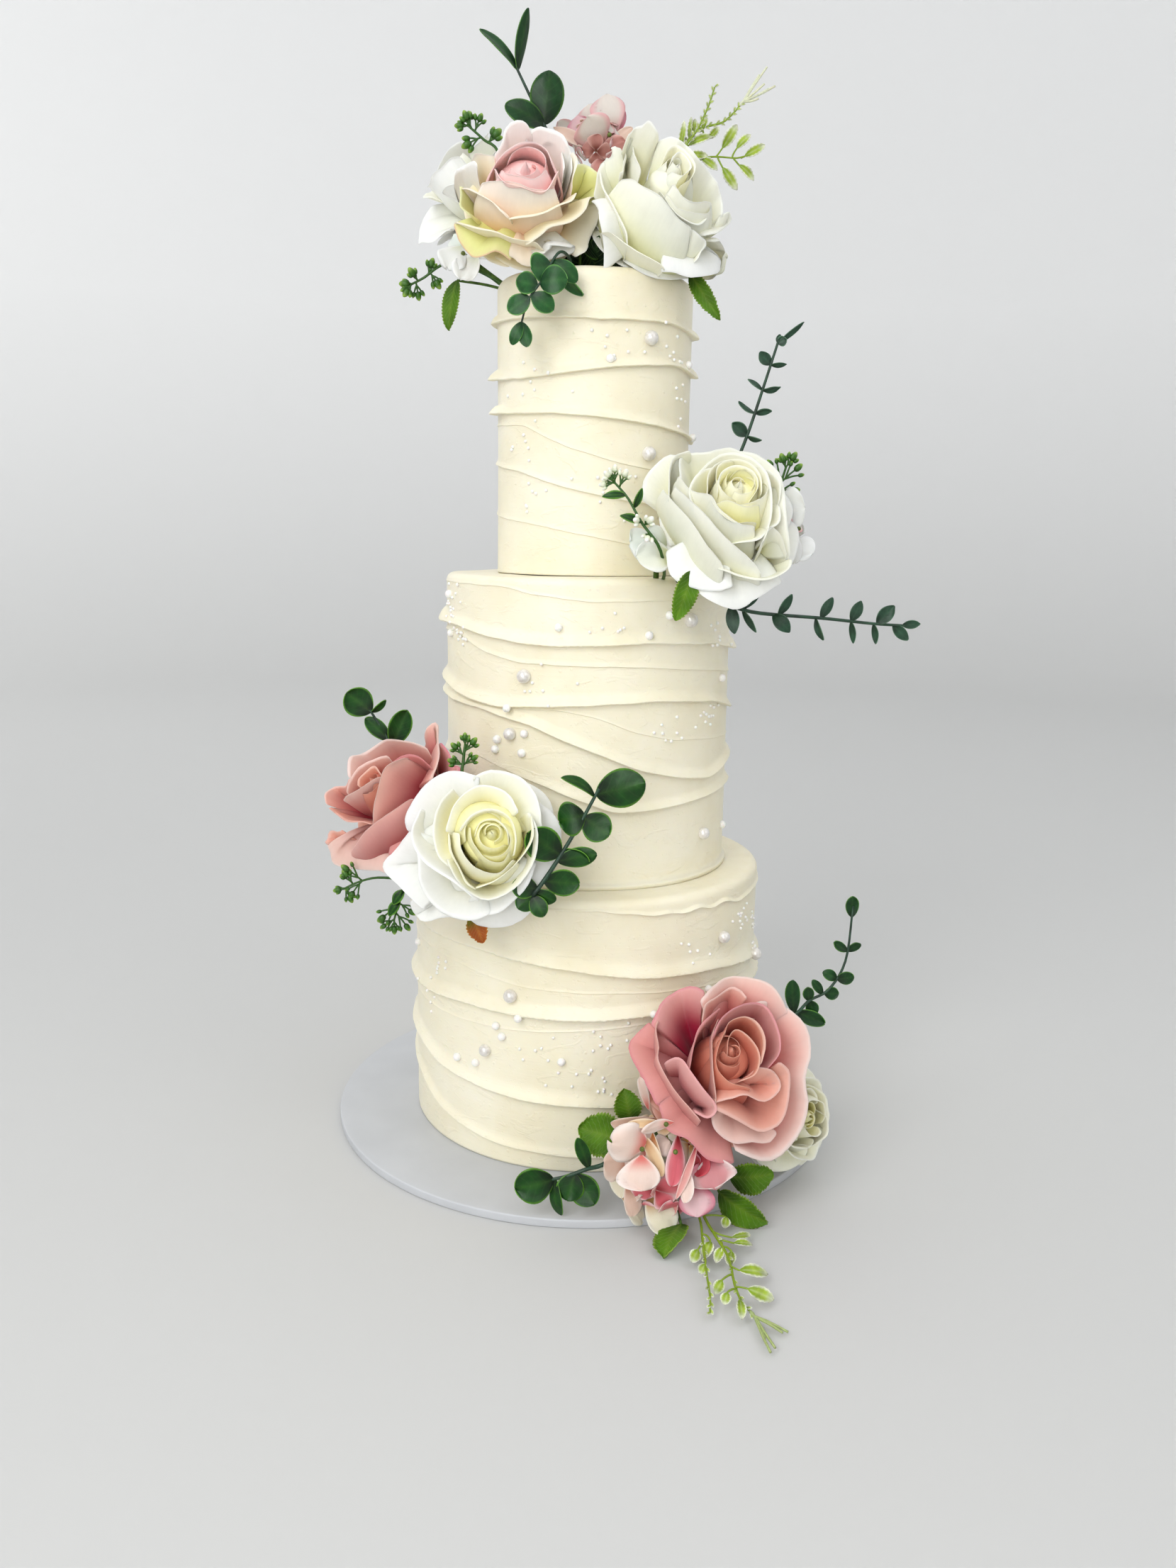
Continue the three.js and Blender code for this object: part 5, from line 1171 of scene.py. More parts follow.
def blade_dyes(dyes, s, across, seed, rib, tip, edge_from):
    """The dye of the two sides of blades: from the foot dye to the face dye, with the edge dye toward the
    rim and the tip, and a paler rib. No two blades are equally dark."""
    rng = np.random.default_rng(seed)
    foot, face, edge, back = four_dyes(dyes)
    body = smooth(s, 0.05, 0.55)[..., None]
    rim = np.maximum(smooth(across, edge_from, 1.0), tip * smooth(s, 0.6, 1.0))[..., None]
    middle = rib * (1 - smooth(across, 0.0, 0.2))[..., None]
    tone = rng.uniform(0.88, 1.0, (len(dyes), 1, 1, 1))
    sides = []
    for own in (back, face):
        colour = (foot + (own - foot) * body) * (1 - rim) + edge * rim
        sides.append((colour * (1 - middle) + edge * middle) * tone)
    colour = np.stack(sides, 1)
    return np.concatenate([colour, np.ones_like(colour[..., :1])], -1)


def make_blades(name, material, nodes, group, dyes, thickness, seed, rib=0.0, tip=0.0, edge_from=0.62):
    """Builds the group that blades returns as one piece, kept above the table. dyes is one dye for all of
    them, or a list of one for each; the map has the share across each blade and along it."""
    sheets, s, across = group
    if isinstance(dyes, tuple):
        dyes = [dyes] * len(sheets)
    sheets[..., 2] = np.maximum(sheets[..., 2], TABLE_GAP)
    points, faces = shell(sheets, thickness)
    colour = blade_dyes(dyes, s, across, seed, rib, tip, edge_from)
    signed = np.sign(BLADE_COLUMNS) * across
    flat = np.repeat(np.stack([0.5 + 0.5 * signed, s], -1)[:, None], 2, 1)
    make_piece(name, points, faces, material, nodes, colour, flat)


# Florets that fill a head behind the listed petals: the head's centre, the way it faces, its radius, how
# many florets it has, and their dyes.
HYDRANGEA_HEADS = {
    "pink_hydrangea_front": ((42, -138, 32), (0, -0.8, 0.6), 25, 9, ("pale", "cream", "coral", "apricot",
        "blossom")),
    "pink_hydrangea_top": ((1, 26, 571), (0, -0.9, 0.4), 14, 7, ("rose", "grey", "umber", "beige")),
    "white_hydrangea_middle_right": ((104, -56, 356), (0.8, -0.6, 0.1), 11, 3, ("grey", "white")),
}


def picked(rows, *places):
    """The given places of each row, as one array for each place."""
    return [np.array([row[place] for row in rows], float) for place in places]


def florets(centre, way, radius, count, dyes, seed):
    """Florets over the half ball that faces the given way, spaced by the golden angle: four petals each,
    square round a point of the ball and tangent to it. Returns dyes, feet, tips, widths and faces."""
    rng = np.random.default_rng(seed)
    way = unit(np.array(way, float))
    right = unit(np.cross(way, (0, 0, 1)))
    over = np.cross(right, way)
    petals = []
    for i in range(count):
        tilt = np.arccos(1 - 1.15 * (i + 0.7) / count)
        turn = i * GOLDEN_TURN + rng.uniform(0, 0.5)
        normal = way * np.cos(tilt) + (right * np.cos(turn) + over * np.sin(turn)) * np.sin(tilt)
        middle = np.array(centre) + radius * normal * rng.uniform(0.8, 0.98)
        side = unit(np.cross(normal, rng.standard_normal(3)))
        for k in range(4):
            spoke = side * np.cos(k * np.pi / 2) + np.cross(normal, side) * np.sin(k * np.pi / 2)
            reach = rng.uniform(0.36, 0.46) * radius + 2
            petals.append((dyes[i % len(dyes)], middle + 0.8 * spoke, middle + reach * spoke - 1.5 * normal,
                           1.15 * reach, normal))
    return petals


petal_cloth = silk_material("printed_petal_cloth")
# The least and the most of a petal's roll in degrees, lop, skew, blunt, fold and bow, as blades takes them.
PETAL_SPANS = [(-30, 30), (-0.3, 0.3), (1.15, 1.7), (0.42, 0.6), (-0.14, 0.10), (-0.08, 0.14)]
for number, (node, petals) in enumerate(HYDRANGEAS.items()):
    petals = [(dye, foot, tip, 1.12 * width + 1, (0, -1, 0.25)) for dye, foot, tip, width in petals]
    if node in HYDRANGEA_HEADS:
        petals += florets(*HYDRANGEA_HEADS[node], seed=30 + number)
    dyes = [HYDRANGEA_DYES[petal[0]] for petal in petals]
    foot, tip, width, face = picked(petals, 1, 2, 3, 4)
    rng = np.random.default_rng(35 + number)
    roll, lop, skew, blunt, fold, bow = (rng.uniform(*span, len(petals)) for span in PETAL_SPANS)
    group = blades(foot, tip, width, roll, skew, blunt, fold, bow, ruffle=0.09, rows=17, seed=40 + number,
                   face=face, lop=lop)
    make_blades(node + "_petals", petal_cloth, [node], group, dyes, CLOTH, 50 + number, edge_from=0.5)

# Moulded green plastic beads at the middle of florets, slightly glossy, uneven over about 1 mm.
bead_plastic = mottled_material("moulded_green_plastic", 1.2, 2, "#3C4A12", "#6C7A2A",
                                **{"Roughness": 0.45, "IOR": 1.49})
beads = np.array(BEADS, float)
points, faces = balls(beads, np.full(len(beads), BEAD_RADIUS), 7, 12)
make_piece("hydrangea_beads", points, faces, bead_plastic)

# ---- rose leaves ----
# Leaves of printed cloth on a wire: finely toothed, folded a little along the midrib, matte on top and
# paler below. One has turned orange, and a dark plastic leaf stands between the two top roses; its
# near-black dye, like that of the leaves crowded under those roses, is partly its own dark green and
# partly painted shade of the gap there.
LEAF_THICKNESS = 0.3
WIRE_RADIUS = 0.8  # of a leaf's stalk; a bloom's is twice as thick
TOOTH_LENGTH = 1.7
LEAF_DYES = {
    "rose": ("#3A5E08", "#588612", "#88A63A", "#74964A"),
    "autumn": ("#6E7A18", "#A8541C", "#D08A34", "#B0763C"),
    # dark: near-black green, partly the leaves' own colour and partly painted shade under the top roses
    "dark": ("#0C1A0C", "#16301A", "#4E7A2C", "#24401E"),
}
# Each leaf is its foot, its tip, its width, its roll, where its stalk enters the cake, and its dye.
ROSE_LEAVES = {
    "rose_leaf_top_left": ((-76, -9, 490), (-80, -12, 463), 10, 25, (-42, -6, 484), "rose"),
    "rose_leaf_top_right": ((51, -33, 491), (67, -42, 466), 9, 20, (40, -26, 486), "rose"),
    "rose_leaf_middle": ((51, -96, 336), (43, -97, 311), 12, -15, (45, -62, 328), "rose"),
    "rose_leaf_left": ((-60, -116, 158), (-54, -119, 144), 10, 0, (-52, -86, 159), "autumn"),
    "rose_leaf_front_a": ((20, -132, 40), (-3, -128, 45), 22, 10, (22, -98, 38), "rose"),
    "rose_leaf_front_b": ((25, -122, 46), (21, -119, 63), 14, 0, (26, -96, 44), "rose"),
    "rose_leaf_front_c": ((50, -160, 8), (40, -180, 1.2), 18, 70, (42, -90, 14), "rose"),
    "rose_leaf_front_d": ((77, -137, 22), (100, -138, 25), 19, 15, (62, -80, 30), "rose"),
    "rose_leaf_front_e": ((71, -144, 17), (96, -152, 5), 20, 30, (60, -82, 22), "rose"),
    "dark_leaf_top": ((-8, -40, 503), (2, -28, 508), 18, 30, (-8, -30, 487), "dark"),
}
# More leaves of the dark spray, crowded under the top roses: foot, tip, width and roll. Their near-black
# dye is partly painted shade of the gap under the roses.
DARK_LEAVES = [
    ((-6, -22, 489), (-14, -40, 506), 14, 10), ((0, -20, 489), (2, -38, 508), 15, -15),
    ((6, -18, 489), (12, -30, 507), 13, 20), ((-14, -18, 489), (-30, -36, 500), 13, 25),
    ((10, -22, 489), (24, -38, 497), 13, -20), ((-2, -14, 492), (6, -18, 520), 16, 0),
    ((-10, -12, 492), (-16, -20, 522), 15, 15), ((4, -8, 492), (2, 2, 530), 18, 0),
    ((-24, -8, 489), (-44, -22, 497), 12, 30),
]


def tubes(paths, radii, rows=16, columns=8, taper=0.6):
    """Round stems along smooth curves through the given points: a ring stands square to the curve at each
    step, and the radius falls evenly to the given share at the end. One array of rings and end points, and
    its faces."""
    at = np.linspace(0, 1, rows)
    middle = np.stack([spline(path, at) for path in paths])
    way = unit(np.gradient(middle, axis=1))
    side = unit(np.cross(way, [0.31, 0.42, 0.85]))
    over = np.cross(way, side)
    turn = np.arange(columns) * 2 * np.pi / columns
    radius = np.asarray(radii, float)[:, None] * (1 - (1 - taper) * at)
    ring = middle[:, :, None] + radius[..., None, None] * (
        side[:, :, None] * np.cos(turn)[:, None] + over[:, :, None] * np.sin(turn)[:, None])
    stems = np.concatenate([ring.reshape(len(paths), -1, 3), middle[:, :1], middle[:, -1:]], 1)
    return stems, repeat_faces(closed_faces(rows, columns), rows * columns + 2, len(paths))


def leaf_material(name, roughness, coat, veins, vein_strength, speckle):
    """A leaf: its dye is a point attribute; side veins run up from the midrib, raised and a little paler,
    and the surface is mottled over a few millimetres."""
    material, tree, shader, place = new_material(
        name, **{"Roughness": roughness, "IOR": 1.48, "Specular IOR Level": 0.25, "Coat Weight": coat,
                 "Coat Roughness": 0.25, "Subsurface Weight": 0.05, "Subsurface Scale": 0.001})
    dye = add_node(tree, "Attribute", attribute_name="dye")
    grid = add_node(tree, "SeparateXYZ", {"Vector": add_node(tree, "UVMap").outputs["UV"]})
    from_rib = add_node(tree, "Math", {0: grid.outputs["X"], 1: 0.5}, operation="SUBTRACT")
    from_rib = add_node(tree, "Math", {0: from_rib}, operation="ABSOLUTE")
    slant = add_node(tree, "Math", {0: from_rib, 1: -0.55, 2: grid.outputs["Y"]},
                     operation="MULTIPLY_ADD")
    count = add_node(tree, "Math", {0: slant, 1: veins}, operation="MULTIPLY")
    bend = add_node(tree, "Math", {0: count, 1: 0.5}, operation="PINGPONG")
    vein = add_node(tree, "ValToRGB", {"Fac": bend}, ramp=[(0.0, 1.0), (0.12, 0.0)])
    cloud = add_node(tree, "TexNoise", {"Vector": place, "Scale": per(speckle), "Detail": 4})
    mottled = shaded(tree, dye, cloud, (0.32, 0.58), (0.64, 1.0))
    share = add_node(tree, "Math", {0: vein, 1: vein_strength}, operation="MULTIPLY")
    veined = add_node(tree, "Mix", {0: share, 6: mottled, 7: linear("#9CB878")}, data_type="RGBA")
    ribs = add_node(tree, "Bump", {"Height": vein, "Strength": 2 * vein_strength,
                                   "Distance": 0.0004})
    dents = add_node(tree, "Bump", {"Height": cloud, "Strength": 0.3, "Distance": 0.0012,
                                    "Normal": ribs})
    tree.links.new(veined.outputs[2], shader.inputs["Base Color"])
    tree.links.new(dents.outputs["Normal"], shader.inputs["Normal"])
    return material


leaf_cloth = leaf_material("printed_leaf_cloth", 0.6, 0.0, veins=9.0, vein_strength=0.16, speckle=12)
for number, (node, (foot, tip, width, roll, root, dye)) in enumerate(ROSE_LEAVES.items()):
    teeth = 0 if dye == "dark" else round(np.linalg.norm(np.subtract(tip, foot)) / TOOTH_LENGTH)
    group = blades([foot], [tip], width * 1.04, roll, skew=0.85, blunt=0.62, fold=0.10, bow=0.08, ruffle=0.05,
                   teeth=teeth, bite=0.5 + 0.045 * width, rows=max(4 * teeth + 1, 21), seed=60 + number)
    make_blades(node, leaf_cloth, [node], group, LEAF_DYES[dye], LEAF_THICKNESS, 70 + number, rib=0.35,
                edge_from=0.85)
# the dark spray's near-black dye is partly painted shade of the gap under the top roses
foot, tip, width, roll = picked(DARK_LEAVES, 0, 1, 2, 3)
group = blades(foot, tip, width, roll, skew=0.95, fold=0.1, bow=0.1, ruffle=0.05, rows=17, seed=78)
make_blades("dark_spray_leaves", leaf_cloth, (), group, LEAF_DYES["dark"], LEAF_THICKNESS, 79,
            rib=0.25, edge_from=0.8)

# Wire stalks wound in green floral tape: matte, with fine wraps of about 2 mm.
floral_tape = mottled_material("green_floral_tape", 2, 3, "#2F4A16", "#4C6E22", relief=(0.3, 0.0003),
                               **{"Roughness": 0.7, "IOR": 1.45})
# The stalks of the blooms: where each enters the cake, and where it meets the bloom.
BLOOM_STEMS = [
    ((56, -80, 50), (65, -106, 61)), ((80, -58, 24), (94, -79, 30)), ((-50, -78, 160), (-48, -94, 191)),
    ((-74, -52, 160), (-91, -62, 197)), ((48, -50, 328), (71, -60, 352)),
    ((-20, -12, 488), (-36, -19, 513)), ((18, -8, 488), (24, -16, 504)), ((-30, 12, 488), (-53, 14, 532)),
    ((38, -90, 30), (42, -132, 34)), ((35, -60, 328), (34, -80, 345)), ((66, -38, 328), (100, -54, 356)),
    ((0, 18, 488), (2, 26, 566)), ((-44, -6, 484), (-72, -9, 503)),
]
stalks = [(root, np.add(root, foot) / 2 + (0, 0, 1), foot)
          for foot, _, _, _, root, _ in ROSE_LEAVES.values()]
# Each bloom sits in a green cup with five narrow sepals that lie against its outer petals: the bloom's
# place, its azimuth and elevation, its depth, and how far its sepals reach.
CUP_RADIUS = 4.2
BLOOM_CUPS = [
    ((70, -127, 79), 12, 42, 54, 24), ((110, -94, 35.5), 38, 18, 44, 17),
    ((-50, -114, 199.5), 4, 18, 48, 20), ((-104, -72, 210), -32, 38, 54, 20),
    ((72, -77, 362), 2, 36, 52, 22), ((-37, -39, 521), 4, 28, 52, 20), ((32, -31, 518), 22, 38, 60, 20),
    ((-67, 22, 542), -62, 46, 46, 20),
]
sepals = []
cups = []
for at, azimuth, elevation, depth, reach in BLOOM_CUPS:
    (right, over, out), at = facing(azimuth, elevation, at)
    cup = at - 0.47 * depth * out
    cups.append(cup)
    for turn in np.arange(5) * 2 * np.pi / 5 + 0.4:
        spoke = right * np.cos(turn) + over * np.sin(turn)
        sepals.append((cup + 1.5 * spoke, cup + reach * spoke + 0.16 * depth * out, 5.5, spoke * 0.4 - out))
foot, tip, width, face = picked(sepals, 0, 1, 2, 3)
group = blades(foot, tip, width, skew=0.75, blunt=0.8, fold=-0.12, bow=-0.12, ruffle=0.06, seed=76, face=face)
make_blades("rose_sepals", leaf_cloth, (), group, LEAF_DYES["rose"], LEAF_THICKNESS, 77, rib=0.2,
            edge_from=0.85)
points, faces = balls(np.array(cups), np.full(len(cups), CUP_RADIUS), 9, 14)
make_piece("rose_cups", points, faces, floral_tape)
radii = [WIRE_RADIUS] * len(stalks) + [2 * WIRE_RADIUS] * len(BLOOM_STEMS)
points, faces = tubes(stalks + [(a, np.add(a, b) / 2, b) for a, b in BLOOM_STEMS], radii, rows=9, taper=0.9)
make_piece("flower_stalks", points, faces, floral_tape)

# ---- eucalyptus sprays ----
# Moulded plastic eucalyptus: leaves in pairs along a wire stem. Some sprays have round glossy leaves with a
# thin pale rim, others narrow grey-green ones; the pale rim is partly the leaf's own edge and partly a
# painted highlight along it. Each stem is pushed into the cake beside the roses.
# the edge dye paints a thin pale rim: partly the leaves' own paler edge, partly a painted highlight
EUCALYPTUS_DYES = {
    "glossy": ("#041C04", "#10460A", "#66A030", "#245A20"),
    "bluish": ("#103C1C", "#1E5824", "#70AC58", "#307040"),
    "tall": ("#06240C", "#104016", "#5A8E36", "#2E6C3E"),
    "grey": ("#1A3424", "#294A36", "#64886C", "#466A54"),
}
EUCALYPTUS_THICKNESS = 0.45
# Each spray is its dye, its stem's radius, where that enters the cake and its path, and leaves as the place
# along the path, the way from there to the tip, the width and the roll.
EUCALYPTUS = [
    dict(name="tall_eucalyptus_top", look="tall", stem=1.3, root=(-4, 8, 488),
         path=[(-15, 14, 556), (-27, 13, 573), (-36, 12, 589), (-45, 12, 606)],
         leaves=[(1, (-21, 0, 20), 8, 40), (1, (6, 0, 31), 8, 50), (0.42, (3, -2, 27), 18, 0),
         (0.4, (-22, -3, 10), 13, 0)]),
    dict(name="hanging_eucalyptus_top", look="bluish", stem=0.9, root=(-12, -42, 487),
         path=[(-19, -62, 494), (-27, -67, 480), (-34, -68, 470), (-38, -65, 458)],
         leaves=[(0.15, (-10, -4, -3), 15, 0), (0.1, (12, -2, -10), 9, 0), (0.12, (16, 6, -14), 7, 60),
         (0.45, (-11, -1, 2), 11, 0), (0.4, (14, -4, 1), 14, 0), (0.65, (-11, 0, -7), 10, 0),
         (0.6, (11, -1, -8), 10, 0), (1, (-5, 0, -11), 6, 0), (1, (3, 0, -12), 7, 0)]),
    dict(name="eucalyptus_middle_up", look="grey", stem=1.2, root=(62, -40, 328),
         path=[(75, -46, 384), (83.5, -46, 408), (91, -46, 432.5), (98.5, -46, 458)],
         leaves=[(0.33, (-8.5, -1, 6.5), 9, 0), (0.33, (8, 0, -2), 4, 50), (0.5, (-9, 0, 6), 5, 40),
         (0.5, (9, 0, 1.5), 5, 40), (0.67, (-8, 0, 5.5), 5, 40), (0.67, (9.5, 0, 2), 5, 50),
         (0.85, (-6, 0, 6.5), 8, 0), (0.85, (8.5, 0, 0.5), 4, 50), (1, (4.5, -1, 2), 7, 0),
         (1, (1, 0, 4.5), 4, 0), (1, (13.5, 0, 11), 4, 40)]),
    dict(name="eucalyptus_middle_right", look="grey", stem=1.3, root=(60, -50, 327),
         path=[(72, -80, 319), (88, -72, 314), (125, -64, 311), (155, -59, 308), (174, -56, 307)],
         leaves=[(0.03, (2, -3, -15), 9, 10), (0.16, (10, 0, 10), 6, 40), (0.16, (8, 0, -12), 5, 40),
         (0.36, (7, 0, 11), 7, 30), (0.34, (9, -3, -9), 10, 0), (0.52, (6, 0, 11), 7, 0),
         (0.5, (5, 0, -12), 5, 40), (0.66, (5, 0, 11), 8, 0), (0.66, (2, 0, -12), 5, 40),
         (0.8, (9, 0, 10), 10, 0), (0.78, (2, 0, -11), 5, 40), (0.92, (9, 0, -8), 8, 0),
         (1, (10, 0, 1), 6, 0)]),
    dict(name="eucalyptus_left_up", look="glossy", stem=1.2, root=(-70, -38, 205),
         path=[(-108, -58, 236), (-113, -58, 244), (-121, -58, 257)],
         leaves=[(1, (-13, -2, 11), 16, 0), (1, (8, 0, 7), 4, 40), (0.3, (-13, 0, 12), 9, 20),
         (0.1, (9, -2, 20), 12, 0)]),
    dict(name="eucalyptus_left_right", look="glossy", stem=1.5, root=(-32, -88, 160),
         path=[(-28, -132, 174), (-22, -131, 182), (-13, -129, 196), (-3, -126, 213), (5, -124, 228)],
         leaves=[(1, (25, 2, 6), 19, 0), (0.98, (-17, -2, 10), 7, 50), (0.82, (-13, 2, -4), 17, 0),
         (0.8, (13, -2, -9), 15, 0), (0.5, (-17, -2, 12), 17, 0), (0.55, (13, -2, -5), 6, 40),
         (0.45, (20, -1, 4), 10, 10), (0.25, (18, 2, -2), 13, 0), (0.08, (10, 0, -5), 8, 20),
         (0.12, (-13, -2, 2), 11, 10), (0.03, (-8, -3, -7), 10, 0), (0.0, (6, -3, -10), 9, 0)]),
    dict(name="eucalyptus_front_left", look="glossy", stem=1.5, root=(30, -94, 36),
         path=[(12, -148, 36), (1, -147, 31), (-9, -147, 27), (-17, -147, 25)],
         leaves=[(1, (-20, -2, -4), 18, 0), (0.95, (3, -3, -19), 7, 30), (0.6, (12, -5, -14), 15, 0),
         (0.55, (-4, -4, -13), 14, 0), (0.3, (-6, -2, 18), 7, 0)]),
    dict(name="eucalyptus_front_up", look="tall", stem=1.1, root=(84, -54, 84),
         path=[(112, -98, 96), (123, -94, 104), (134, -92, 110), (143, -89, 126), (146, -86, 156)],
         leaves=[(1, (0, 0, 12), 7, 0), (0.84, (-8, 0, 5), 5, 20), (0.84, (7, 0, 4), 5, 20),
         (0.64, (-8, 0, 4), 6, 20), (0.64, (9, -1, 2), 7, 0), (0.44, (-6, 0, 8), 5, 20),
         (0.46, (8, 0, 0), 7, 0), (0.26, (4, 0, -8), 7, 0), (0.26, (-1, 0, 8), 6, 0),
         (0.06, (-2, 0, 19), 8, 0), (0.08, (16, -1, -6), 8, 0)]),
]
leaf_plastic = leaf_material("moulded_leaf_plastic", 0.4, 0.12, veins=5.0, vein_strength=0.02, speckle=5)

# The same plastic on the stems, dark green and smooth, uneven over about 5 mm as at moulded nodes.
stem_plastic = mottled_material("dark_stem_plastic", 5, 3, "#12261A", "#274A34", relief=(0.25, 0.0005),
                                **{"Roughness": 0.45, "IOR": 1.48})


def stem_path(spray):
    """Points of the stem's curve: from inside the cake to the spray's path, which it meets in line, and
    along it."""
    first, second = np.array(spray["path"][0], float), np.array(spray["path"][1], float)
    root = np.array(spray["root"], float)
    entry = first + (root - first) * 0.5 - 0.25 * (second - first)
    return [root, entry] + [np.array(p, float) for p in spray["path"]]


def along_path(spray, features):
    """Foot and tip of each feature: a place along the spray's own path, and the way from there."""
    foot = spline(spray["path"], [0.95 * f[0] for f in features])
    return foot, foot + np.array([f[1] for f in features], float)


for number, spray in enumerate(EUCALYPTUS):
    name, look = spray["name"], spray["look"]
    foot, tip = along_path(spray, spray["leaves"])
    width, roll = picked(spray["leaves"], 2, 3)
    rng = np.random.default_rng(80 + number)
    slim = look == "grey"
    share, skew, blunt = (0.8, 1.0, 0.66) if slim else (1.06, 1.15, 0.5)
    fold = 0.12 * rng.uniform(-0.7, 1.3, len(foot))
    bow = rng.uniform(-0.08, 0.16, len(foot))
    group = blades(foot, tip, share * width, roll, skew, blunt, fold, bow, ruffle=0.035, rows=19,
                   seed=90 + number)
    make_blades(name + "_leaves", leaf_plastic, [name], group, EUCALYPTUS_DYES[look],
                EUCALYPTUS_THICKNESS, 100 + number, rib=0.10, edge_from=0.88)
    points, faces = tubes([stem_path(spray)], [spray["stem"]], rows=30, columns=10, taper=0.55)
    make_piece(name + "_stem", points, faces, stem_plastic, [name])

# ---- bud sprigs ----
# Sprigs of moulded green plastic: thin forked stems that end in small oval buds, each with a paler tip. One
# sprig in the middle carries tiny white flower buds instead.
BUD_STRETCH = 1.55
TWIG_RADIUS = 0.55
BUD_SPRIGS = [
    dict(name="berry_sprig_top_upper", stem=1, root=(-36, 4, 488),
         path=[(-52, -8, 554), (-61, -9, 562), (-70, -10, 569)],
         buds=[(1, (-5, 0, 0), 2.4), (0.9, (-3, -2, 6), 2.4), (1, (0, 2, 6), 2.2), (0.8, (3, 0, 7), 2.2),
         (0.6, (-8, 0, -4), 2.8), (0.4, (5, 0, 5), 2.8)]),
    dict(name="berry_sprig_top_lower", stem=1, root=(-44, -8, 484),
         path=[(-77, -8, 500), (-86, -9, 497), (-94, -10, 491), (-102, -10, 487)],
         buds=[(1, (-4, 0, 0), 2.5), (1, (-3, -2, -5), 2.5), (0.9, (1, 2, -7), 2.3),
         (0.85, (-3, -3, 4), 2.5), (0.6, (2, 0, 6), 2.3), (0.55, (4, 0, -6), 2.5)]),
    dict(name="berry_sprig_middle_left", stem=1, root=(38, -60, 328),
         path=[(34, -95, 348), (25, -92, 360), (18, -88, 372), (10, -84, 381)],
         leaves=[(0.55, (4, 0, 10), 4, 0), (0.35, (-11, 0, 3), 5, 0), (0.75, (-12, 0, -1), 5, 0)],
         buds=[(1, (-6, 0, -1), 2), (1, (-4, -1, 4), 2), (1, (0, 0, 7), 2), (0.9, (3, 0, 7), 2),
         (0.35, (-3, -5, 1), 2.2), (0.3, (3, -5, 3), 2.2), (0.2, (-1, -6, -3), 2.2)]),
    dict(name="berry_sprig_middle_right", stem=1, root=(64, -36, 328),
         path=[(97, -52, 373), (101, -52, 381), (104, -52, 391)],
         buds=[(1, (-2, 0, 5), 2.2), (1, (4, 0, 6), 2.2), (0.7, (-7, 0, 8), 2.2), (0.6, (9, 0, 8), 2.2),
         (0.3, (10, 0, 1), 2.2)]),
    dict(name="berry_sprig_left_up", stem=1.2, root=(-52, -58, 206),
         path=[(-66, -97, 228), (-66, -96, 236), (-65, -95, 245)],
         buds=[(1, (0, 0, 5), 2), (0.8, (5, 0, 6), 2), (0.7, (-5, 0, 5), 2), (0.4, (6, 0, 4), 2),
         (0.4, (-6, 0, 2), 2)]),
    dict(name="berry_sprig_left_low_a", stem=0.9, root=(-72, -62, 160),
         path=[(-101, -94, 171), (-114, -93, 171), (-124, -92, 168), (-132, -92, 164)],
         buds=[(1, (-4, 0, -1), 2), (0.8, (-4, 0, 6), 2.2), (0.6, (-9, 0, 7), 2.2), (1, (3, 0, -6), 2),
         (0.6, (-6, 0, -8), 2)]),
    dict(name="berry_sprig_left_low_b", stem=0.9, root=(-68, -66, 160),
         path=[(-97, -99, 168), (-101, -98, 158), (-104, -97, 148)],
         leaves=[(0.1, (-6, 0, -8), 6, 0), (0.4, (-6, 0, -9), 6, 0)],
         buds=[(1, (0, 0, -6), 2.2), (1, (-6, 0, -4), 2), (0.8, (6, 0, -8), 2), (0.6, (-9, 0, -7), 2.2),
         (0.5, (7, 0, -5), 2)]),
]
# Soft green plastic, fresh from its mould: satin, letting a little light in, and speckled over about 1.5
# mm.
bud_plastic, tree, shader, place = new_material(
    "fresh_bud_plastic",
    **{"Roughness": 0.42, "IOR": 1.48, "Subsurface Weight": 0.08, "Subsurface Scale": 0.001})
dye = add_node(tree, "Attribute", attribute_name="dye")
spots = add_node(tree, "TexNoise", {"Vector": place, "Scale": per(1.5), "Detail": 3})
speckled = shaded(tree, dye, spots, (0.3, 0.78), (0.7, 1.0))
bump = add_node(tree, "Bump", {"Height": spots, "Strength": 0.2, "Distance": 0.0003})
tree.links.new(speckled, shader.inputs["Base Color"])
tree.links.new(bump.outputs["Normal"], shader.inputs["Normal"])
# The dyes of a bud at its foot, on its body and at its tip.
BUD_GREEN = ("#1E4408", "#34660C", "#8FB040")
WHITE_BUD = ("#6E8E3A", "#E6EAD0", "#FBFBF6")


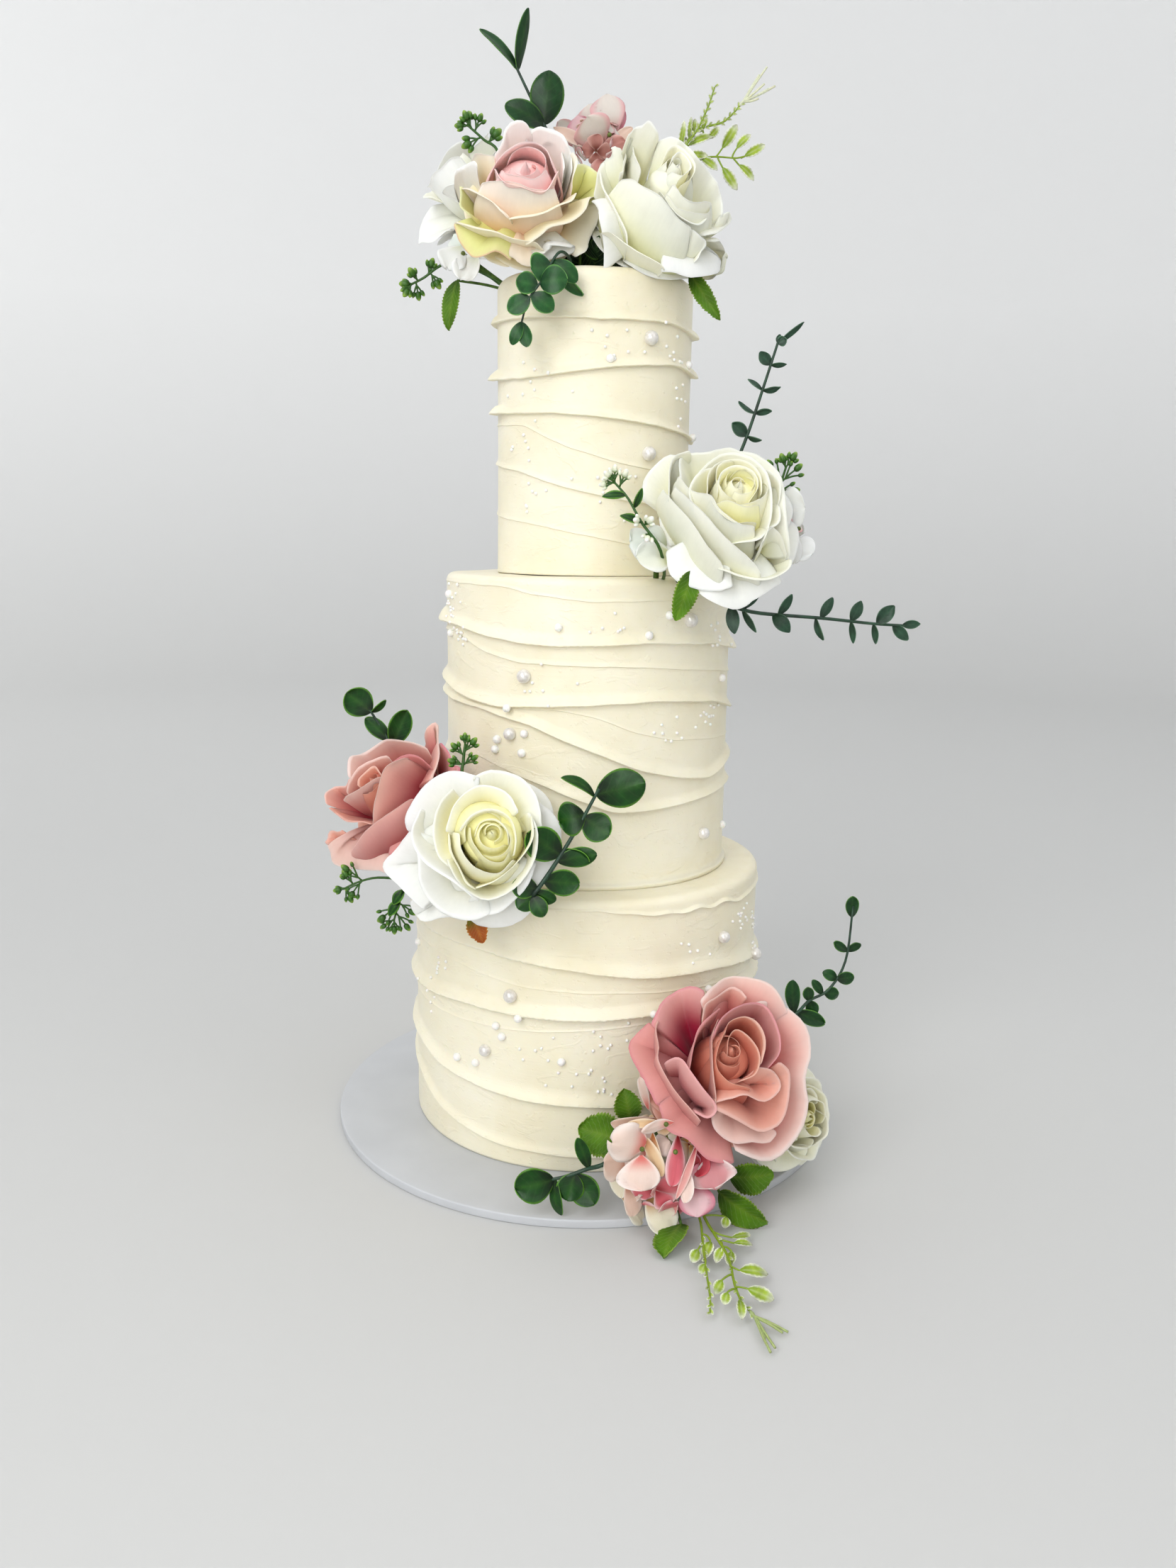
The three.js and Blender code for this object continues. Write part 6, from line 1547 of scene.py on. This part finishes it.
def buds(centre, way, radius, look):
    """Oval buds that point the given way: rings of latitude BUD_STRETCH times as long as wide, fuller
    toward the foot. The dye runs from the foot over the body to the tip."""
    rows, columns = 9, 12
    tilt = np.pi * (np.arange(rows) + 1) / (rows + 1)
    turn = 2 * np.pi * np.arange(columns) / columns
    height = -np.cos(tilt)
    girth = np.sin(tilt) * (1 - 0.18 * height)
    way = unit(way)
    side = unit(np.cross(way, [0.37, 0.21, 0.9]))
    over = np.cross(way, side)
    ring = (side[:, None, None] * (girth[:, None] * np.cos(turn))[..., None]
            + over[:, None, None] * (girth[:, None] * np.sin(turn))[..., None]
            + way[:, None, None] * (BUD_STRETCH * height[:, None] + 0 * turn)[..., None])
    poles = np.stack([-BUD_STRETCH * way, BUD_STRETCH * way], 1)
    ball = np.concatenate([ring.reshape(len(centre), -1, 3), poles], 1)
    points = centre[:, None] + radius[:, None, None] * ball
    up = np.concatenate([np.repeat(height, columns), [-1, 1]])[None, :, None]
    foot, body, tip = (np.array(linear(c)[:3]) for c in look)
    colour = foot + (body - foot) * smooth(up, -1, -0.2)
    colour = colour + (tip - colour) * smooth(up, 0.15, 0.95)
    colour = np.concatenate([colour, np.ones_like(up)], -1) + np.zeros((len(centre), 1, 1))
    return points, repeat_faces(closed_faces(rows, columns), rows * columns + 2, len(centre)), colour


def branched(spray, twigs, radii, stem_rows, twig_rows):
    """A spray's stem and its twigs as one set of points and faces, and how many of the points are the
    stem's."""
    points, faces = tubes([stem_path(spray)], [spray["stem"]], rows=stem_rows)
    points = points.reshape(-1, 3)
    count = len(points)
    if twigs:
        more, more_faces = tubes(twigs, radii, rows=twig_rows, columns=6, taper=0.8)
        points = np.concatenate([points, more.reshape(-1, 3)])
        faces = faces + [group + count for group in more_faces]
    return points, faces, count


for number, sprig in enumerate(BUD_SPRIGS):
    name = sprig["name"]
    rng = np.random.default_rng(120 + number)
    foot, tip = along_path(sprig, sprig["buds"])
    radius, = picked(sprig["buds"], 2)
    way = tip - foot
    # Each listed bud has two smaller ones beside it on the same stalk.
    reach = 0.55 * np.linalg.norm(way, axis=1, keepdims=True)
    partner = np.concatenate([
        way + reach * unit(np.cross(way, [0.1, -1, 0.1]) * sign + 0.3 * rng.standard_normal(way.shape))
        for sign in (-1, 1)])
    twice = np.concatenate([foot, foot]) + 0.25 * np.concatenate([way, way])
    feet = np.concatenate([foot, twice])
    tips = np.concatenate([tip, twice + 0.62 * partner])
    radii = np.concatenate([radius, 0.66 * radius, 0.66 * radius]) * rng.uniform(0.9, 1.1, 3 * len(radius))
    look = WHITE_BUD if name == "berry_sprig_middle_left" else BUD_GREEN
    points, faces, colour = buds(tips, tips - feet, 0.76 * radii, look)
    make_piece(name + "_buds", points, faces, bud_plastic, [name], colour)
    stalks = [(a, a + 0.5 * (b - a) + (0, 0, 0.4), b) for a, b in zip(feet, tips)]
    points, faces, of_stem = branched(sprig, stalks, [TWIG_RADIUS] * len(stalks), 20, 6)
    colour = np.broadcast_to(np.array(linear("#2E5A10")), (len(points), 4))
    make_piece(name + "_stems", points, faces, bud_plastic, [name], colour)
    if "leaves" in sprig:
        foot, tip = along_path(sprig, sprig["leaves"])
        width, = picked(sprig["leaves"], 2)
        group = blades(foot, tip, width, 20, skew=0.9, blunt=0.7, fold=0.1, bow=0.1, seed=130 + number)
        make_blades(name + "_leaves", leaf_plastic, [name], group, EUCALYPTUS_DYES["glossy"],
                    0.4, 140 + number, rib=0.2)

# ---- pale sprays ----
# Two sprays of light green plastic fern: thin barbed stems with small leaflets on short twigs, toothed and
# faded to cream at their tips, and a tuft of fine threads at the end. One rises behind the top roses, one
# lies in front.
THREAD_RADIUS = 0.75
# Each spray is its stem, where that enters the cake, how many barbs it has, its path, its leaflets as foot,
# tip and width, and the ends of its threads.
PALE_SPRAYS = [
    dict(name="pale_spray_top", node="pale_spray_top", stem=0.8, root=(18, 12, 488), barbs=18,
         path=[(44, 14, 546.5), (48, 14, 564.5), (56, 14, 575), (63, 14, 577.5), (70.5, 14, 579.5),
         (76, 14, 584), (80, 14, 588.5)],
         leaflets=[((46.5, 14, 564), (49, 14, 580), 3.6), ((52, 14, 570.5), (53, 14, 582), 2.6),
         ((53.5, 14, 573), (55, 14, 581), 3.4), ((59.5, 14, 575.5), (61.5, 14, 582), 3.6),
         ((63, 14, 571), (68.5, 14, 577), 4), ((52, 14, 567.5), (66, 14, 572.5), 5)],
         plume=[(94, 14, 608), (99, 14, 598.5), (95.5, 14, 597), (90, 14, 592), (87.5, 14, 599.5),
         (90, 14, 604), (88.5, 14, 601.5), (93, 14, 599.5)]),
    dict(name="pale_spray_top_twig", node="pale_spray_top", stem=0.75, root=(22, 10, 488), barbs=16,
         path=[(45.5, 10, 553.5), (49.5, 10, 565), (56, 10, 574), (59.5, 10, 581), (62.5, 10, 588),
         (65, 10, 596)],
         leaflets=[],
         plume=[]),
    dict(name="pale_spray_top_low", node="pale_spray_top", stem=0.7, root=(26, 8, 488), barbs=0,
         path=[(44, 6, 550), (49.5, 6, 555), (55, 6, 556.5), (61, 6, 559), (68, 6, 559.5), (77.5, 6, 559),
         (82.5, 6, 560)],
         leaflets=[((70, 6, 564), (77.5, 6, 576), 5.8), ((78, 6, 564), (85.5, 6, 571), 4.9),
         ((82.5, 6, 560), (93.5, 6, 566), 5), ((79.5, 6, 555.5), (88, 6, 547.5), 5),
         ((70.5, 6, 554), (79, 6, 542.5), 5.6), ((58.5, 6, 558.5), (67.5, 6, 552.5), 5.4),
         ((50.5, 6, 560), (62, 6, 560), 4.6)],
         plume=[]),
    dict(name="pale_fern_front", node="pale_fern_front", stem=0.9, root=(50, -88, 22), barbs=10,
         path=[(62, -155, 10), (66.5, -172.5, 9), (71, -189, 7.5), (71.5, -208.5, 6.5), (73.5, -219.5, 5),
         (77, -226, 4)],
         leaflets=[((74.5, -171.5, 8), (85, -163, 4), 3), ((75, -176.5, 8), (85, -172, 4), 3.4),
         ((73, -184, 8), (71.5, -190, 4), 4.4), ((75, -199.5, 8), (89, -197, 4), 5.6),
         ((77, -214, 8), (89, -216.5, 4), 5.4), ((72, -222.5, 8), (72, -231.5, 4), 3.8),
         ((67, -217, 8), (65.5, -220.5, 4), 4.2), ((65.5, -207.5, 8), (61.5, -212.5, 4), 4.4),
         ((69, -180.5, 8), (65, -187.5, 4), 4.2), ((74, -153, 8), (72.5, -156.5, 4), 4.2)],
         plume=[(92, -238.5, 3), (88, -235, 3), (82, -252.5, 3), (84.5, -249.5, 3), (81, -243, 3),
         (89.5, -239, 3)]),
    dict(name="pale_fern_front_twig", node="pale_fern_front", stem=0.8, root=(46, -88, 22), barbs=14,
         path=[(59.5, -155, 10), (59.5, -175, 8.5), (59, -200, 7), (59, -217, 5.5), (58, -226.5, 4)],
         leaflets=[((59, -194.5, 8), (56.5, -196.5, 4), 3.8), ((56.5, -182.5, 8), (53, -187, 4), 4.8),
         ((63.5, -175.5, 8), (59.5, -184.5, 4), 5)],
         plume=[]),
]
PALE_DYE = ("#82A012", "#A6BE3C", "#F2F3E2", "#B4C860")
pale_plastic = leaf_material("pale_fern_plastic", 0.5, 0.1, veins=7.0, vein_strength=0.08, speckle=5)
for number, spray in enumerate(PALE_SPRAYS):
    name = spray["name"]
    lies = spray["node"] == "pale_fern_front"
    face = (0, -0.6, 0.8) if lies else (0, -1, 0.15)
    line = spline(spray["path"], np.linspace(0, 1, 80))
    foot, tip, width, twigs = [], [], [], []
    for begin, end, size in spray["leaflets"]:
        begin, end = np.array(begin, float), np.array(end, float)
        nearest = np.argmin(np.linalg.norm(line - begin, axis=1))
        joint = line[max(nearest - 5, 0)]
        bend = 0.5 * (joint + begin) + 0.12 * (begin - end)
        twigs.append((joint, bend, begin, begin + 0.3 * (end - begin)))
        foot.append(begin)
        tip.append(end)
        width.append(size)
    roll = [12 * (-1) ** i for i in range(len(foot))]
    count = spray["barbs"]
    if count:
        barbs = spline(spray["path"], np.linspace(0.22, 1, count))
        heading = unit(np.gradient(barbs, axis=0))
        flank = unit(np.cross(heading, [0.1, -1, 0.2])) * np.where(np.arange(count) % 2, 1, -1)[:, None]
        foot.extend(barbs)
        tip.extend(barbs + 2.3 * heading + 1.8 * flank)
        width.extend([1.1] * count)
        roll.extend([0] * count)
    width = np.array(width) * (1.25 if lies else 1)
    group = blades(np.array(foot), np.array(tip), width, roll, skew=0.95, fold=0.12, bow=0.10, ruffle=0.05,
                   teeth=6, bite=0.5, rows=25, seed=160 + number, face=face)
    make_blades(name + "_leaflets", pale_plastic, [spray["node"]], group, PALE_DYE, 0.35,
                170 + number, rib=0.2, tip=0.8)
    last = np.array(spray["path"][-1], float)
    before = np.array(spray["path"][-2], float)
    ahead = 0.35 * (last - before)
    threads = [(last - 0.3 * ahead, last + ahead, 0.4 * last + 0.6 * np.array(end), np.array(end, float))
               for end in spray["plume"]]
    radii = [TWIG_RADIUS] * len(twigs) + [THREAD_RADIUS] * len(threads)
    points, faces, of_stem = branched(spray, twigs + threads, radii, 28, 9)
    pale = [0.0] * len(twigs) + [0.3 if lies else 0.95] * len(threads)
    fade = np.zeros(len(points))
    fade[of_stem:] = np.repeat(pale, (len(points) - of_stem) // max(len(pale), 1))
    fade = fade[:, None]
    colour = np.array(linear("#86A024")) * (1 - fade) + np.array(linear("#E4E5C6")) * fade
    make_piece(name + "_stems", points, faces, bud_plastic, [spray["node"]], colour)

# ---- floor, light and camera ----
# A pale studio cove, a broad soft light from the front left and a weaker one from the right. The camera
# stands a little above the middle tier, as the viewer of a cake on a table does.
COVE_RADIUS = 3.2  # metres, like its wall's height
COVE_WALL = 5.0
COVE_COLUMNS = 128
angle = np.arange(COVE_COLUMNS) * 2 * np.pi / COVE_COLUMNS
bend = np.linspace(0, np.pi / 2, 14)
cove_r = np.concatenate([[0.5, 1.5], COVE_RADIUS - 1 + np.sin(bend), [COVE_RADIUS]])
cove_z = np.concatenate([[0, 0], 1 - np.cos(bend), [COVE_WALL]])
cove = np.stack([cove_r[:, None] * np.cos(angle), cove_r[:, None] * np.sin(angle),
                 cove_z[:, None] + 0 * angle], -1).reshape(-1, 3)
mesh = bpy.data.meshes.new("studio_cove")
quads, under, _ = closed_faces(len(cove_r), COVE_COLUMNS)
polygons = [*quads[:, ::-1].tolist(), *under[:, ::-1].tolist()]
mesh.from_pydata([*cove.tolist(), (0, 0, 0)], [], polygons)
mesh.shade_smooth()
floor = bpy.data.objects.new("studio_cove", mesh)
bpy.context.scene.collection.objects.link(floor)
paint, tree, shader, place = new_material("matte_studio_paint", **{"Roughness": 0.9})
# The paint runs from a darker grey on the floor to a paler one up the wall: painted light, lifting the wall
# against the floor, which takes more of the light.
height = add_node(tree, "SeparateXYZ", {"Vector": place})
tone = add_node(tree, "ValToRGB", {"Fac": height.outputs["Z"]}, ramp=[(0.0, "#C8C8C6"), (1.0, "#F2F2F1")])
tree.links.new(tone.outputs["Color"], shader.inputs["Base Color"])
mesh.materials.append(paint)

world = bpy.data.worlds.new("studio")
world.use_nodes = True
world.node_tree.nodes["Background"].inputs["Color"].default_value = linear("#F4F6FA")
world.node_tree.nodes["Background"].inputs["Strength"].default_value = 1.25
bpy.context.scene.world = world


def place_object(thing, right, up, back, at):
    """Puts an object in the scene with its X, Y and Z axes along right, up and back."""
    thing.matrix_world = Matrix(np.block([[np.stack([right, up, back, at], 1)], [0, 0, 0, 1]]).tolist())
    bpy.context.scene.collection.objects.link(thing)


def soft_light(name, watts, size, at, toward):
    """A square area light that faces a point and isn't seen itself; places are in metres."""
    light = bpy.data.lights.new(name, "AREA")
    light.energy, light.size = watts, size
    lamp = bpy.data.objects.new(name, light)
    lamp.visible_camera = False
    back = (np.array(at) - np.array(toward)) / np.linalg.norm(np.array(at) - np.array(toward))
    right = np.cross((0, 0, 1), back) / np.linalg.norm(np.cross((0, 0, 1), back))
    place_object(lamp, right, np.cross(back, right), back, at)


soft_light("key", 11, 0.8, (-0.8, -1.3, 1.4), (0, 0, 0.45))
soft_light("fill", 4, 1.0, (1.3, -1.2, 1.4), (0, 0, 0.5))
soft_light("front", 8, 0.8, (-0.4, -1.6, 0.6), (0, 0, 0.3))
soft_light("wall_wash", 10, 1.5, (-1.9, 0.9, 1.6), (-1.2, 3.0, 0.9))

# The camera's place in millimetres, and its turns: down, to the right and about its own axis.
EYE = np.array([-5.96, -726.51, 354.96])
PITCH, YAW, ROLL = np.radians([11.68, 0.51, 0.81])
LONG_SIDE = 36.0
LENS = 28.015
ahead = np.array([np.sin(YAW) * np.cos(PITCH), np.cos(YAW) * np.cos(PITCH), -np.sin(PITCH)])
level = np.cross(ahead, (0, 0, 1)) / np.linalg.norm(np.cross(ahead, (0, 0, 1)))
upright = np.cross(level, ahead)
right = np.cos(ROLL) * level + np.sin(ROLL) * upright
up = np.cos(ROLL) * upright - np.sin(ROLL) * level
lens = bpy.data.cameras.new("camera")
lens.sensor_fit, lens.sensor_height, lens.lens = "VERTICAL", LONG_SIDE, LENS
lens.clip_start = 0.01
camera = bpy.data.objects.new("camera", lens)
place_object(camera, right, up, -ahead, EYE * MM)
bpy.context.scene.camera = camera
bpy.context.scene.view_settings.view_transform = "Standard"
